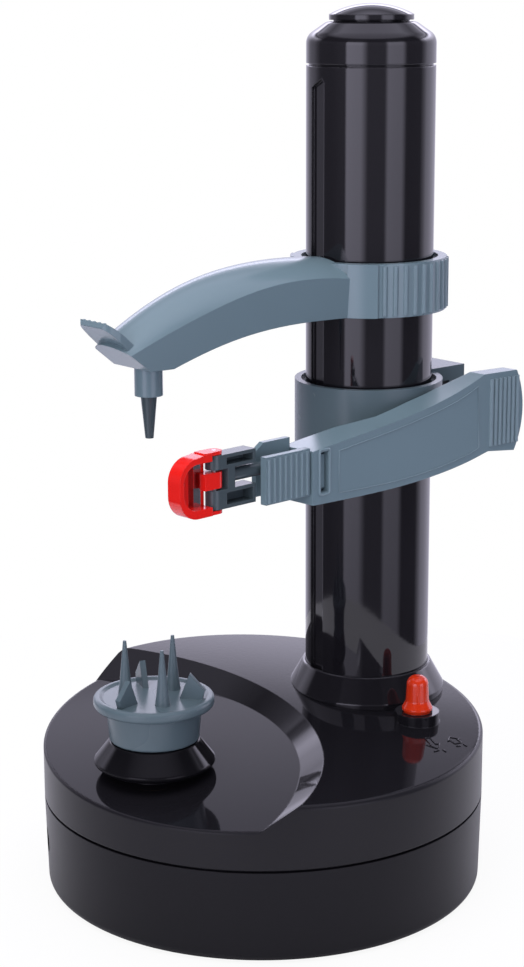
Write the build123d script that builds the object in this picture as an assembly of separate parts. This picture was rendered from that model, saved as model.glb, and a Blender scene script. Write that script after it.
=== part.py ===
from build123d import *
import math
import os

# Electric potato peeler: a round battery base with a fruit spindle, a column with a lead
# screw inside, a holding arm above the fruit and a blade arm that the screw lowers.
# Millimetres. +X runs from the spindle to the column, +Z is up, and the origin is the
# centre of the round base on the plane that its feet stand on.

# ---------------------------------------------------------------- driving dimensions
# Base
BASE_RADIUS = 67.5
BASE_TAPER = 0.7
BASE_FOOT_RADIUS = BASE_RADIUS - BASE_TAPER
BASE_FOOT_ROUND = 2.5
SEAM_HEIGHT = 28.0
SEAM_GROOVE = 0.8
# The deck slopes down to the front, and the drip tray's floor to the front and the left.
# Their heights are those over the base's axis, their rises those per millimetre.
DECK_HEIGHT = 51.8
DECK_RISE = 0.07
DECK_EDGE_ROUND = 1.4
TRAY_FLOOR_HEIGHT = 46.6
TRAY_RISE_X = 0.082
TRAY_RISE_Y = 0.05
TRAY_EDGE_ROUND = 0.8
TRAY_X = -(BASE_RADIUS + 3.0)
TRAY_Y = 10.9
TRAY_RADIUS = 81.9
TRAY_SLOPE = 1.285
WALL = 2.4
FLOOR_THICKNESS = 2.2
LIP_HEIGHT = 2.4
LIP_THICKNESS = 1.1
FIT = 0.05
GAP = 0.3
FOOT_STANDOFF = 0.4
CUT_PAST = 1.0
REACH = 300.0

# Places of the two working axes
SPINDLE_X = -(BASE_RADIUS - 25.5)
COLUMN_X = BASE_RADIUS - 24.0
ARM_SPAN = COLUMN_X - SPINDLE_X

# Feet and housing screws
FOOT_PAD_RADIUS = 6.0
FOOT_PAD_DEPTH = 1.2
FOOT_PAD_CIRCLE = BASE_FOOT_RADIUS - 10.8
FOOT_PAD_TAPER = 0.2
FOOT_PAD_COUNT = 4
SCREW_CIRCLE = BASE_RADIUS - 9.4
SCREW_ANGLES = (-121.0, 121.0, -29.2, 27.4)
SCREW_RADIUS = 1.5
SCREW_HEAD_RADIUS = 2.8
SCREW_HEAD_DEPTH = 1.8
SCREW_SINK = 6.0
SCREW_BITE = 8.0
SCREW_SLOT = (3.64, 0.7, 1.2)
POST_RADIUS = 4.6

# Battery bay
CELL_RADIUS = 7.1
CELL_LENGTH = 49.2
CELL_TIP_RADIUS = 2.75
CELL_TIP_LENGTH = 1.3
CELL_EDGE_ROUND = 0.6
CELL_COUNT = 4
CELL_PITCH = 15.0
CELL_PLAY = 0.3
BAY_CENTRE_Y = -8.0
BAY_WALL = 1.6
CONTACT_THICKNESS = 0.5
CONTACT_SPRING = 2.2
CONTACT_HALF_WIDTH = 5.0
CONTACT_HALF_HEIGHT = 6.0
CONTACT_BUTTON = (2.4, 4.2)
CONTACT_CONE = (2.0, 4.8)
DOOR_THICKNESS = 2.0
DOOR_HINGE_RADIUS = 1.3
DOOR_PIN_RADIUS = 0.8
DOOR_PIN_LENGTH = 1.6
TONGUE_HALF_WIDTH = 7.2
TONGUE_SLIT = 0.8
TONGUE_LENGTH = 9.0
TONGUE_GROOVES = 4
TONGUE_GROOVE_STEP = 1.5
TONGUE_GROOVE_DEPTH = 0.5
TONGUE_GROOVE_HALF = 4.0

# Gear train
GEAR_MODULE = ARM_SPAN / 68.4
SPINDLE_TEETH = 28
IDLER_TEETH = 45
SCREW_TEETH = 20
STEP_PINION_TEETH = 12
FINE_MODULE = 0.8
STEP_WHEEL_TEETH = 45
MOTOR_PINION_TEETH = 10
PRESSURE_ANGLE = 20.0
BACKLASH = 0.12
TOOTH_TIP = 0.9
TOOTH_ROOT = 1.15
ROOT_SPREAD = 0.8
GEAR_FACE = 6.0
FINE_FACE = 3.6
FINE_STEP = 1.2
PINION_OVERLAP = 0.5
GEAR_BOSS = 2.0
GEAR_BOSS_RATIO = 2.0
IDLER_BOSS_RATIO = 3.0
IDLER_WEB_MARGIN = 3.0
IDLER_WEB_DEPTH = 2.0
AXLE_RADIUS = 2.0
AXLE_HEAD_RADIUS = 3.2
AXLE_HEAD_THICKNESS = 1.0
RUNNING_FIT = 0.06
PLATE_HEIGHT = 22.5
PLATE_THICKNESS = 2.0
PLATE_RADIUS = BASE_RADIUS - WALL - 5.1
PLATE_POSTS = (-13.0, 105.0, 215.0)
PLATE_POST_CIRCLE = PLATE_RADIUS - 3.0
PLATE_SCREW_HEAD = 1.6
GEAR_LIFT = 2.4

# Motor
MOTOR_RADIUS = 12.0
MOTOR_DISTANCE = BASE_RADIUS - WALL - MOTOR_RADIUS - 11.1
MOTOR_LENGTH = 29.0
MOTOR_EDGE_ROUND = 1.0
MOTOR_CUP_WALL = 1.6
MOTOR_CUP_HEIGHT = 6.0
MOTOR_BOSS_RADIUS = 4.0
MOTOR_BOSS_HEIGHT = 1.2
MOTOR_SHAFT_RADIUS = 1.0
MOTOR_SHAFT_DEPTH = 6.0
MOTOR_SHAFT_PROUD = 1.0

# Spindle and prong cup
SPINDLE_RADIUS = 4.0
SPINDLE_FOOT = 19.0
SHAFT_REST_WALL = 2.0
SHAFT_CAP = 1.0
BUSH_RADIUS = 7.0
BUSH_SEAT_HEIGHT = 44.2
BUSH_LENGTH = 7.0
BUSH_FLANGE = 1.4
BUSH_FLANGE_THICKNESS = 0.8
HUB_RADIUS = 18.3
HUB_FOOT_HEIGHT = BUSH_SEAT_HEIGHT + 1.2
HUB_EDGE_HEIGHT = HUB_FOOT_HEIGHT + 1.6
HUB_TOP_HEIGHT = HUB_FOOT_HEIGHT + 8.0
HUB_TOP_RADIUS = 13.3
HUB_CHAMFER = 1.6
HUB_RIM_ROUND = 0.8
HUB_WAIST_ROUND = 1.0
HUB_TOP_ROUND = 0.6
DRIVE_HEX = 15.0
DRIVE_HEX_HEIGHT = 6.0
HEX_CLEARANCE = 0.2
CUP_FOOT_RADIUS = 13.3
CUP_NECK_RADIUS = 14.1
CUP_FOOT_HEIGHT = HUB_TOP_HEIGHT + 0.2
CUP_NECK_HEIGHT = CUP_FOOT_HEIGHT + 10.0
CUP_FLANGE_HEIGHT = CUP_NECK_HEIGHT + 3.4
CUP_FLANGE_RADIUS = CUP_NECK_RADIUS + 3.7
CUP_RIM = 1.8
CUP_RIM_SLOPE = 1.0
CUP_DISH_HEIGHT = CUP_FLANGE_HEIGHT - 0.6
CUP_EDGE_ROUND = 0.8
CUP_FLANGE_ROUND = 1.4
CUP_RIM_ROUND = 1.2
CUP_DISH_ROUND = 0.4
PRONG_CIRCLE = 8.5
PRONG_RADIUS = 1.7
PRONG_FLARE = 1.4
PRONG_FLARE_HEIGHT = 5.0
PRONG_TIP_RADIUS = 0.5
PRONG_TIP_HEIGHT = CUP_DISH_HEIGHT + 16.6
PRONG_ANGLES = (10.0, 130.0, 250.0)
ROOT_SINK = 1.0
FIN_ANGLES = (70.0, 190.0, 310.0)
# Outline of a fin: distance from the spindle's axis and height above the dish
FIN_OUTLINE = ((7.5, -1.0), (14.4, -1.0), (15.4, 2.6), (10.9, 7.6))
FIN_THICKNESS = 1.8

# Switch
SWITCH_X = 34.8
SWITCH_Y = -32.2
SWITCH_COLLAR_RADIUS = 6.8
SWITCH_COLLAR_RISE = 0.8
SWITCH_COLLAR_TOP = DECK_HEIGHT + SWITCH_COLLAR_RISE
KNOB_FOOT = SWITCH_COLLAR_TOP + 0.4
KNOB_TOP = KNOB_FOOT + 11.0
KNOB_RADIUS = 4.7
KNOB_FLANGE_THICKNESS = 0.9
KNOB_WAIST_RADIUS = 3.6
KNOB_WAIST_RISE = 3.0
KNOB_TOP_RADIUS = 3.2
KNOB_RIM_ROUND = 0.35
KNOB_WAIST_ROUND = 1.2
KNOB_TIP_ROUND = 2.8
KNOB_STEM_RADIUS = 4.2
KNOB_STEM_LENGTH = 6.6
SWITCH_ROD_RADIUS = 1.6
SWITCH_ROD_SINK = 5.0
SWITCH_BODY = (14.0, 9.0, 13.0)
SWITCH_BORE_DEPTH = 6.0
SWITCH_TAG = (3.0, 1.5, 0.6)
SWITCH_TAG_HEIGHT = 3.0

# Power inlet in the back of the lower housing
INLET_ANGLE = 150.0
INLET_HEIGHT = 15.0
INLET_RADIUS = 4.0
INLET_BORE_RADIUS = 2.75
INLET_PIN_RADIUS = 0.95
INLET_DEPTH = 9.0
INLET_SET_BACK = 1.7
INLET_FLANGE = 1.6
INLET_FLANGE_GAP = 1.0
INLET_END_WALL = 1.5
INLET_PIN_SET_BACK = 1.0

# Column
COLUMN_RADIUS = 19.5
COLUMN_WALL = 2.6
COLUMN_FOOT_HEIGHT = 44.0
COLUMN_TOP = 246.0
SOCKET_WALL = 2.4
SKIRT_RADIUS = 24.6
SKIRT_RISE = 8.0
SKIRT_TOP = DECK_HEIGHT + SKIRT_RISE
SKIRT_LIP = 0.8
SKIRT_LIP_RISE = 0.4
SKIRT_LIP_TOP = DECK_HEIGHT + SKIRT_LIP_RISE
SKIRT_ROUND = 0.5
KEYWAY_WIDTH = 6.4
KEYWAY_DEPTH = 1.2
KEYWAY_TURN = -8.0
KEYWAY_FOOT = 57.4
KEYWAY_STOP = 3.4
KEYWAY_TOP = COLUMN_TOP - KEYWAY_STOP
KEYWAY_SLANT = 2.8
KEYWAY_PEAK = 0.7
KEY_CLEARANCE = 0.35
KEY_SIDE_CLEARANCE = 0.95
KEY_ROOT = 4.0
NUT_SLOT_WIDTH = 6.8
NUT_SLOT_FOOT = 78.0
NUT_SLOT_TOP = 178.0
CAP_SEAM = 0.7
CAP_SEAM_DEPTH = 0.8
CAP_SHOULDER_RISE = 8.6
CAP_SHOULDER_HEIGHT = COLUMN_TOP + CAP_SHOULDER_RISE
CAP_SHOULDER_ROUND = 4.0
CAP_SLOPE_RISE = 4.2
CAP_TOP = CAP_SHOULDER_HEIGHT + CAP_SLOPE_RISE
CAP_TOP_ROUND = 3.0
CAP_TOP_RADIUS = 13.4
CAP_SPIGOT_DEPTH = 6.0
DOME_RADIUS = 12.7
DOME_RIM = 1.6
DOME_RISE = 5.3
DOME_TOP = CAP_TOP + DOME_RISE
DOME_NECK_RADIUS = 11.4
DOME_STEM_RADIUS = 7.4
DOME_STEM_DEPTH = 3.0
DOME_GAP = 0.5

# Lead screw
SCREW_SHAFT_RADIUS = 5.0
SCREW_JOURNAL_RADIUS = 3.0
SCREW_SHAFT_FOOT = 34.0
SCREW_JOURNAL_FOOT = 20.8
TOP_BUSH_THICKNESS = 3.6
TOP_JOURNAL_LENGTH = 5.0
JOURNAL_END_GAP = 1.0

# Sleeves on the column
SLEEVE_CLEARANCE = 0.3
SLEEVE_MOUTH_RADIUS = 20.9
SLEEVE_MOUTH_DEPTH = 1.6

# Holding arm
HOLDER_FOOT = 173.1
HOLDER_TOP = 189.1
HOLDER_RADIUS = 23.5
HOLDER_RIB_COUNT = 31
HOLDER_RIB_SPAN = 244.0
HOLDER_RIB_RADIUS = 0.8
HOLDER_RIB_SINK = 0.1
HOLDER_RIB_INSET = 0.6
HOLDER_PANEL_ANGLES = (127.0, 149.0)
HOLDER_PANEL_PROUD = 0.8
PIN_BLOCK_HEIGHT = HOLDER_FOOT - 8.1
# Cross-sections of the holding arm: distance from the column as a share of the span
# between the two axes, bottom, shoulder and crest above the ring's foot, and half width
ARM_SECTIONS = (
    (0.2140, 0.1, 11.5, 16.9, 13.4),
    (0.3510, 0.3, 12.8, 17.8, 12.8),
    (0.4890, 0.2, 12.9, 17.9, 12.3),
    (0.6260, -0.7, 11.6, 17.1, 11.8),
    (0.7640, -2.7, 8.9, 15.1, 11.2),
    (0.9006, -5.9, 5.2, 11.6, 10.3),
    (1.0386, -10.1, 0.8, 6.4, 9.2),
    (1.1754, -15.4, -4.3, -0.5, 8.0),
)
ARM_TAPER = 0.96
# Side view of the arm's end: distance beyond the spindle and height above the pin block.
# Towards the column it stops inside the ring, as far as the arm's root from the axis
ARM_ROOT = 13.5
ARM_INSIDE = ARM_ROOT - ARM_SPAN
ARM_END_OUTLINE = ((5.6, 0.0), (ARM_INSIDE, 0.0), (ARM_INSIDE, 28.0), (18.0, 28.0), (15.0, 7.4))
PIN_SOCKET_RADIUS = 4.05
PIN_SOCKET_FOOT = PIN_BLOCK_HEIGHT - 8.5
PIN_TIP_HEIGHT = PIN_SOCKET_FOOT - 12.4
PIN_CONE_RADIUS = 2.35
PIN_TIP_RADIUS = 1.2
PIN_SHANK_RADIUS = 1.5
PIN_HEAD_RADIUS = 2.5
PIN_HEAD_THICKNESS = 1.2
# Thumb tab, seen from the side in the same way: its underside and its upper side
TAB_UNDER = ((4.6, 0.0), (10.8, 5.2), (15.6, 9.8), (19.6, 13.2))
TAB_OVER = ((19.0, 14.7), (14.6, 11.6), (9.8, 7.6), (2.0, 1.4))
TAB_HALF_WIDTH = 7.4
TAB_ROOT = 1.0
TAB_WAIST = 1.0
TAB_WIDE = 15.0
TAB_END = 20.0
TAB_ROUND = 4.0

# Carriage
CARRIAGE_FOOT = 128.0
CARRIAGE_TOP = CARRIAGE_FOOT + 23.1
CARRIAGE_RADIUS = 22.9
PIVOT_X = COLUMN_X + 2.5
PIVOT_Y = -(CARRIAGE_RADIUS + 5.1)
PIVOT_PIN_RADIUS = 1.5
PIVOT_PIN_PROUD = 2.6
PIVOT_PIN_FOOT = CARRIAGE_FOOT - 1.1
LUG_RADIUS = 3.4
LUG_FOOT = CARRIAGE_FOOT + 2.6
LUG_TOP = CARRIAGE_FOOT + 18.4
LUG_WEB_INSET = 0.4
LUG_WEB_SINK = 2.0
ARM_SPRING_RADIUS = 2.9
ARM_SPRING_WIRE = 0.4
ARM_SPRING_HEIGHT = 5.0
ARM_SPRING_TURNS = 5
NUT_SPRING_RADIUS = 2.0
NUT_SPRING_WIRE = 0.25
NUT_SPRING_TURNS = 4
NUT_SPRING_POCKET = 1.8
NUT_BOX_END = COLUMN_X + 34.9
NUT_BOX_HALF_WIDTH = 7.2
NUT_BOX_FOOT = CARRIAGE_FOOT + 9.0
NUT_BOX_TOP = CARRIAGE_FOOT + 24.0
NUT_BOX_WALL = 1.8
NUT_ROOM_SINK = 3.0
NUT_FOOT = CARRIAGE_FOOT + 11.6
NUT_TOP = CARRIAGE_FOOT + 21.4
NUT_NECK_WIDTH = 6.2
NUT_NECK_START = 3.0
NUT_SHOULDER = 1.6
NUT_BACK = NUT_BOX_END - 4.2
NUT_TRAVEL = 2.0
NUT_WINDOW_PLAY = 0.5
NUT_COVER_THICKNESS = 1.6
NUT_COVER_RIM = 0.9
BUTTON_WIDTH = 4.2
BUTTON_FOOT = CARRIAGE_FOOT + 14.6
BUTTON_TOP = CARRIAGE_FOOT + 19.4
BUTTON_X = COLUMN_X + 25.9
BUTTON_SINK = 0.5
BUTTON_SLIDE = 0.15
WEDGE_CORNER = -3.6

# Blade arm, in its own directions: u along the arm from the pivot pin, towards the thumb
# grip, and v across it, towards the column. It stands turned by ARM_REST_ANGLE.
ARM_REST_ANGLE = 3.5
BLADE_ARM_END = -59.0
BLADE_ARM_FRONT = -5.5
BLADE_ARM_BACK = 6.5
BLADE_ARM_WALL = 2.2
SOCKET_DEPTH = 14.0
WINDOW_FROM_END = 3.2
WINDOW_WIDTH = 2.9
WINDOW_FOOT = CARRIAGE_FOOT + 1.4
WINDOW_TOP = CARRIAGE_FOOT + 13.2
GRIP_START = 15.0
GRIP_END = 31.6
# Side view of the blade arm: u and the height above the sleeve's foot. The grip follows
# on from the upper edge and its bowed end is drawn through three points.
BLADE_ARM_UPPER = ((-59.0, 13.8), (-42.4, 15.6), (-24.0, 17.6), (-5.0, 20.6), (5.0, 23.0), (15.0, 26.2))
BLADE_ARM_LOWER = ((17.0, 2.0), (10.5, 0.6), (-4.4, -1.4), (-23.8, -2.4), (-59.0, -1.8))
GRIP_TOP_EDGE = ((15.0, 26.2), (28.8, 26.0))
GRIP_BOW = ((28.8, 26.0), (31.6, 12.2), (28.2, 0.8))
GRIP_UNDER_EDGE = ((28.2, 0.8), (17.0, 2.0))
# Plan of the blade arm behind its front wall: u and v of the corners
BLADE_ARM_FLARE = 1.5
BLADE_ARM_PLAN = ((33.1, -1.5), (15.0, 0.5), (9.4, 2.0), (3.4, 3.4), (-9.4, 4.2), (-24.0, 3.4), (-38.0, 6.5))
BLADE_ARM_ROUND = 1.5
BLADE_ARM_CUT = ((-20.0, 20.0), (100.0, 180.0))
LUG_ROOM = 0.6
LUG_ROOM_START = -6.4
STRIP_FOOT = CARRIAGE_FOOT + 0.2
STRIP_TOP = CARRIAGE_FOOT + 13.8
GRIP_RIB_COUNT = 7
GRIP_RIB_RADIUS = 0.7
GRIP_RIB_FIRST = 18.0
GRIP_RIB_LAST = 29.0
GRIP_RIB_FOOT = CARRIAGE_FOOT + 3.5
GRIP_RIB_TOP = CARRIAGE_FOOT + 24.4

# Blade cartridge, yoke and shoe, in the same u and v directions
HEAD_V = 0.5
CARTRIDGE_LOW = CARRIAGE_FOOT + 1.6
CARTRIDGE_HIGH = CARRIAGE_FOOT + 14.8
CARTRIDGE_FACE_END = -76.6
CARTRIDGE_TAB_THICKNESS = 1.6
CARTRIDGE_TAB_ROOT = 0.6
CARTRIDGE_TAB_DROP = 0.4
CARTRIDGE_RIB_COUNT = 8
CARTRIDGE_RIB_RADIUS = 0.45
CARTRIDGE_RIB_MARGIN = 1.2
CARTRIDGE_RIB_INSET = 0.6
CARTRIDGE_CLEARANCE = 0.2
SOCKET_ROOF = 2.0
# Rear tab: set-ins of its corners from the front edge, its rise and its thickness
CARTRIDGE_REAR = (4.0, 7.0, 2.0, 1.2)
CARTRIDGE_BODY_START = 6.0
CARTRIDGE_WEB = 1.5
CARTRIDGE_WALL = 1.6
HOOK_PROUD = 1.2
HOOK_ROOT = 0.5
HOOK_INSET = 1.0
NECK_HEIGHT = CARRIAGE_FOOT + 10.7
NECK_RADIUS = 1.9
NECK_END = -60.5
NECK_BORE_START = -66.0
NECK_COLLAR = 1.2
NECK_COLLAR_RADIUS = 2.7
NECK_ROOT = 1.0
YOKE_ROOT = -78.0
YOKE_HIGH = NECK_HEIGHT + 6.7
YOKE_LOW = NECK_HEIGHT - 8.5
YOKE_HIGH_BAR = 4.0
YOKE_LOW_BAR = 5.4
YOKE_DEPTH = 5.0
YOKE_CHANNEL = 1.0
YOKE_WEB_START = 3.0
YOKE_WEB_END = 5.6
SHOE_AXIS_U = -91.4
SHOE_END = -106.0
SHOE_TAB = 1.2
SHOE_TAB_PLAY = 0.2
SHOE_TAB_INSET = 0.3
SHOE_TAB_ROOT = 2.4
SHOE_WALL = 1.4
SHOE_ROUND = 6.5
SHOE_TIP_DROP = 1.6
SHOE_EYE_RADIUS = 1.7
SHOE_PIN_RADIUS = 0.7
SHOE_PIN_GRIP = 1.6
BLADE_THICKNESS = 0.5
BLADE_WIDTH = 4.4
BLADE_SET_BACK = 1.2
BLADE_PROUD = 0.7
BLADE_EDGE = 0.3
BLADE_BEVEL = 0.6

# ---------------------------------------------------------------- derived places
FLOOR_TOP = FOOT_STANDOFF + FLOOR_THICKNESS
INNER_RADIUS = BASE_RADIUS - WALL
PLATE_TOP = PLATE_HEIGHT + PLATE_THICKNESS
GEAR_FOOT = PLATE_TOP + GEAR_LIFT
GEAR_TOP = GEAR_FOOT + GEAR_FACE
FINE_FOOT = GEAR_TOP + FINE_STEP
FINE_TOP = FINE_FOOT + FINE_FACE
CELL_AXIS_HEIGHT = FOOT_STANDOFF + DOOR_THICKNESS + CELL_PLAY + CELL_RADIUS
BAY_TOP = CELL_AXIS_HEIGHT + CELL_RADIUS + CELL_PLAY
BAY_HALF_WIDTH = CELL_COUNT * CELL_PITCH / 2 + CELL_PLAY
BAY_HALF_LENGTH = (CELL_LENGTH + CELL_TIP_LENGTH) / 2 + CONTACT_SPRING + CONTACT_THICKNESS
BAY_X = (-BAY_HALF_WIDTH, BAY_HALF_WIDTH)
BAY_Y = (BAY_CENTRE_Y - BAY_HALF_LENGTH, BAY_CENTRE_Y + BAY_HALF_LENGTH)
BAY_OUTER_X = (BAY_X[0] - BAY_WALL, BAY_X[1] + BAY_WALL)
BAY_OUTER_Y = (BAY_Y[0] - BAY_WALL, BAY_Y[1] + BAY_WALL)
SLEEVE_BORE = COLUMN_RADIUS + SLEEVE_CLEARANCE


def pitch_radius(teeth, module):
    return teeth * module / 2


def meeting_point(start, start_distance, end, end_distance, side):
    """Point at the two distances from start and end, on the given side of their line."""
    span = math.dist(start, end)
    along = (start_distance**2 - end_distance**2 + span**2) / (2 * span)
    across = math.sqrt(start_distance**2 - along**2) * side
    ux = (end[0] - start[0]) / span
    uy = (end[1] - start[1]) / span
    return (start[0] + along * ux - across * uy, start[1] + along * uy + across * ux)


SPINDLE = (SPINDLE_X, 0.0)
COLUMN = (COLUMN_X, 0.0)
SWITCH = (SWITCH_X, SWITCH_Y)
PIVOT = (PIVOT_X, PIVOT_Y)
SPINDLE_PITCH = pitch_radius(SPINDLE_TEETH, GEAR_MODULE)
IDLER_PITCH = pitch_radius(IDLER_TEETH, GEAR_MODULE)
SCREW_PITCH = pitch_radius(SCREW_TEETH, GEAR_MODULE)
STEP_PINION_PITCH = pitch_radius(STEP_PINION_TEETH, GEAR_MODULE)
STEP_WHEEL_PITCH = pitch_radius(STEP_WHEEL_TEETH, FINE_MODULE)
MOTOR_PINION_PITCH = pitch_radius(MOTOR_PINION_TEETH, FINE_MODULE)
IDLER = meeting_point(SPINDLE, SPINDLE_PITCH + IDLER_PITCH, COLUMN, SCREW_PITCH + IDLER_PITCH, 1)
MOTOR = (IDLER[0], IDLER[1] + MOTOR_DISTANCE)
STEP = meeting_point(
    IDLER, IDLER_PITCH + STEP_PINION_PITCH, MOTOR, STEP_WHEEL_PITCH + MOTOR_PINION_PITCH, -1
)


# ---------------------------------------------------------------- plain forms
def rod(radius, low, high, place=(0.0, 0.0)):
    bottom = (Align.CENTER, Align.CENTER, Align.MIN)
    return Pos(place[0], place[1], low) * Cylinder(radius, high - low, align=bottom)


def ring(outer, inner, low, high, place=(0.0, 0.0)):
    return rod(outer, low, high, place) - rod(inner, low, high, place)


def block(x, y, z):
    """Box from three (low, high) pairs."""
    size = [high - low for low, high in (x, y, z)]
    corner = (Align.MIN, Align.MIN, Align.MIN)
    return Pos(x[0], y[0], z[0]) * Box(*size, align=corner)


def rounded_face(points, rounds=()):
    """Closed outline with some of its corners rounded: rounds is (corner index, radius)."""
    face = make_face(Polyline(*points, close=True))
    for index, radius in rounds:
        corner = face.vertices().sort_by_distance(Vector(*points[index], 0))[0]
        face = fillet(corner, radius)
    return face


def turned(points, rounds=(), place=(0.0, 0.0)):
    """Solid of revolution from (radius, height) points."""
    profile = Plane.XZ * rounded_face(points, rounds)
    return Pos(place[0], place[1], 0) * revolve(profile, Axis.Z)


def from_side(points, rounds, low_y, high_y):
    """Outline in X and Z, as thick as from low_y to high_y."""
    outline = Plane.XZ.offset(-high_y) * rounded_face(points, rounds)
    return extrude(outline, high_y - low_y)


def from_above(points, rounds, low_z, high_z):
    """Outline in X and Y, as thick as from low_z to high_z."""
    outline = Plane.XY.offset(low_z) * rounded_face(points, rounds)
    return extrude(outline, high_z - low_z)


def above(height, rise_x, rise_y):
    """All that is above a slope with this height over the base's axis."""
    slope = Plane(origin=(0, 0, height), z_dir=(-rise_x, -rise_y, 1))
    return slope * Pos(0, 0, REACH / 2) * Box(REACH, REACH, REACH)


def polar(radius, degrees, centre=(0.0, 0.0)):
    angle = math.radians(degrees)
    return (centre[0] + radius * math.cos(angle), centre[1] + radius * math.sin(angle))


# ---------------------------------------------------------------- gears
def gear_outline(teeth, module, phase):
    """Spur gear face with straight-flanked teeth; phase is the angle of one tooth."""
    pitch = pitch_radius(teeth, module)
    tip = pitch + module * TOOTH_TIP
    root = pitch - module * TOOTH_ROOT
    half_tooth = module * (math.pi / 4 - BACKLASH)
    lean = math.tan(math.radians(PRESSURE_ANGLE))
    tip_half = (half_tooth - (tip - pitch) * lean) / tip
    root_half = (half_tooth + (pitch - root) * lean * ROOT_SPREAD) / root
    corners = ((root, -root_half), (tip, -tip_half), (tip, tip_half), (root, root_half))
    points = []
    for tooth in range(teeth):
        centre = phase + 2 * math.pi * tooth / teeth
        for radius, offset in corners:
            points.append((radius * math.cos(centre + offset), radius * math.sin(centre + offset)))
    return make_face(Polyline(*points, close=True))


def gear(teeth, module, phase, low, high, place):
    outline = Pos(place[0], place[1], low) * gear_outline(teeth, module, phase)
    return extrude(outline, high - low)


def mesh_phase(place, teeth, phase, other_place, other_teeth):
    """Angle of a tooth of the other gear that puts it in mesh with this one."""
    towards = math.atan2(other_place[1] - place[1], other_place[0] - place[0])
    turn = (phase - towards) * teeth
    return towards + math.pi + (math.pi - turn) / other_teeth


SPINDLE_PHASE = 0.0
IDLER_PHASE = mesh_phase(SPINDLE, SPINDLE_TEETH, SPINDLE_PHASE, IDLER, IDLER_TEETH)
SCREW_PHASE = mesh_phase(IDLER, IDLER_TEETH, IDLER_PHASE, COLUMN, SCREW_TEETH)
STEP_PHASE = mesh_phase(IDLER, IDLER_TEETH, IDLER_PHASE, STEP, STEP_PINION_TEETH)
MOTOR_PHASE = mesh_phase(STEP, STEP_WHEEL_TEETH, STEP_PHASE, MOTOR, MOTOR_PINION_TEETH)


def spindle_gear():
    wheel = gear(SPINDLE_TEETH, GEAR_MODULE, SPINDLE_PHASE, GEAR_FOOT, GEAR_TOP, SPINDLE)
    wheel += rod(SPINDLE_RADIUS * GEAR_BOSS_RATIO, PLATE_TOP + GAP, GEAR_TOP + GEAR_BOSS, SPINDLE)
    return wheel - rod(SPINDLE_RADIUS, PLATE_TOP, GEAR_TOP + GEAR_BOSS + CUT_PAST, SPINDLE)


def idler_gear():
    wheel = gear(IDLER_TEETH, GEAR_MODULE, IDLER_PHASE, GEAR_FOOT, GEAR_TOP, IDLER)
    web_inner = AXLE_RADIUS * IDLER_BOSS_RATIO
    web_outer = IDLER_PITCH - GEAR_MODULE * IDLER_WEB_MARGIN
    wheel -= ring(web_outer, web_inner, GEAR_TOP - IDLER_WEB_DEPTH, GEAR_TOP, IDLER)
    wheel += rod(web_inner, PLATE_TOP + GAP, GEAR_TOP, IDLER)
    return wheel - rod(AXLE_RADIUS + RUNNING_FIT, PLATE_TOP, GEAR_TOP + CUT_PAST, IDLER)


def screw_gear():
    wheel = gear(SCREW_TEETH, GEAR_MODULE, SCREW_PHASE, GEAR_FOOT, GEAR_TOP, COLUMN)
    wheel += rod(SCREW_JOURNAL_RADIUS * GEAR_BOSS_RATIO, PLATE_TOP + GAP, SCREW_SHAFT_FOOT, COLUMN)
    return wheel - rod(SCREW_JOURNAL_RADIUS, PLATE_TOP, SCREW_SHAFT_FOOT, COLUMN)


def step_gear():
    wheel = gear(STEP_PINION_TEETH, GEAR_MODULE, STEP_PHASE, GEAR_FOOT, FINE_FOOT, STEP)
    wheel += gear(STEP_WHEEL_TEETH, FINE_MODULE, STEP_PHASE, FINE_FOOT, FINE_TOP, STEP)
    wheel += rod(AXLE_RADIUS * GEAR_BOSS_RATIO, PLATE_TOP + GAP, GEAR_FOOT, STEP)
    return wheel - rod(AXLE_RADIUS + RUNNING_FIT, PLATE_TOP, FINE_TOP + CUT_PAST, STEP)


def motor_pinion():
    low = FINE_FOOT - PINION_OVERLAP
    high = FINE_TOP + PINION_OVERLAP
    wheel = gear(MOTOR_PINION_TEETH, FINE_MODULE, MOTOR_PHASE, low, high, MOTOR)
    return wheel - rod(MOTOR_SHAFT_RADIUS, low, high, MOTOR)


def axle(place, top):
    """Steel pin pressed into the gear plate, with a turned head above its gear."""
    head = top + GAP
    pin = rod(AXLE_RADIUS, PLATE_HEIGHT, head, place)
    return pin + rod(AXLE_HEAD_RADIUS, head, head + AXLE_HEAD_THICKNESS, place)


# ---------------------------------------------------------------- base
def lower_shell():
    """Tub of the drum, with the lip that centres the upper housing."""
    lip_outer = INNER_RADIUS + LIP_THICKNESS
    return turned(
        [
            (0, FOOT_STANDOFF),
            (BASE_FOOT_RADIUS, FOOT_STANDOFF),
            (BASE_RADIUS, SEAM_HEIGHT),
            (lip_outer, SEAM_HEIGHT),
            (lip_outer, SEAM_HEIGHT + LIP_HEIGHT),
            (INNER_RADIUS, SEAM_HEIGHT + LIP_HEIGHT),
            (INNER_RADIUS, FLOOR_TOP),
            (0, FLOOR_TOP),
        ],
        [(1, BASE_FOOT_ROUND)],
    )


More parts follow.
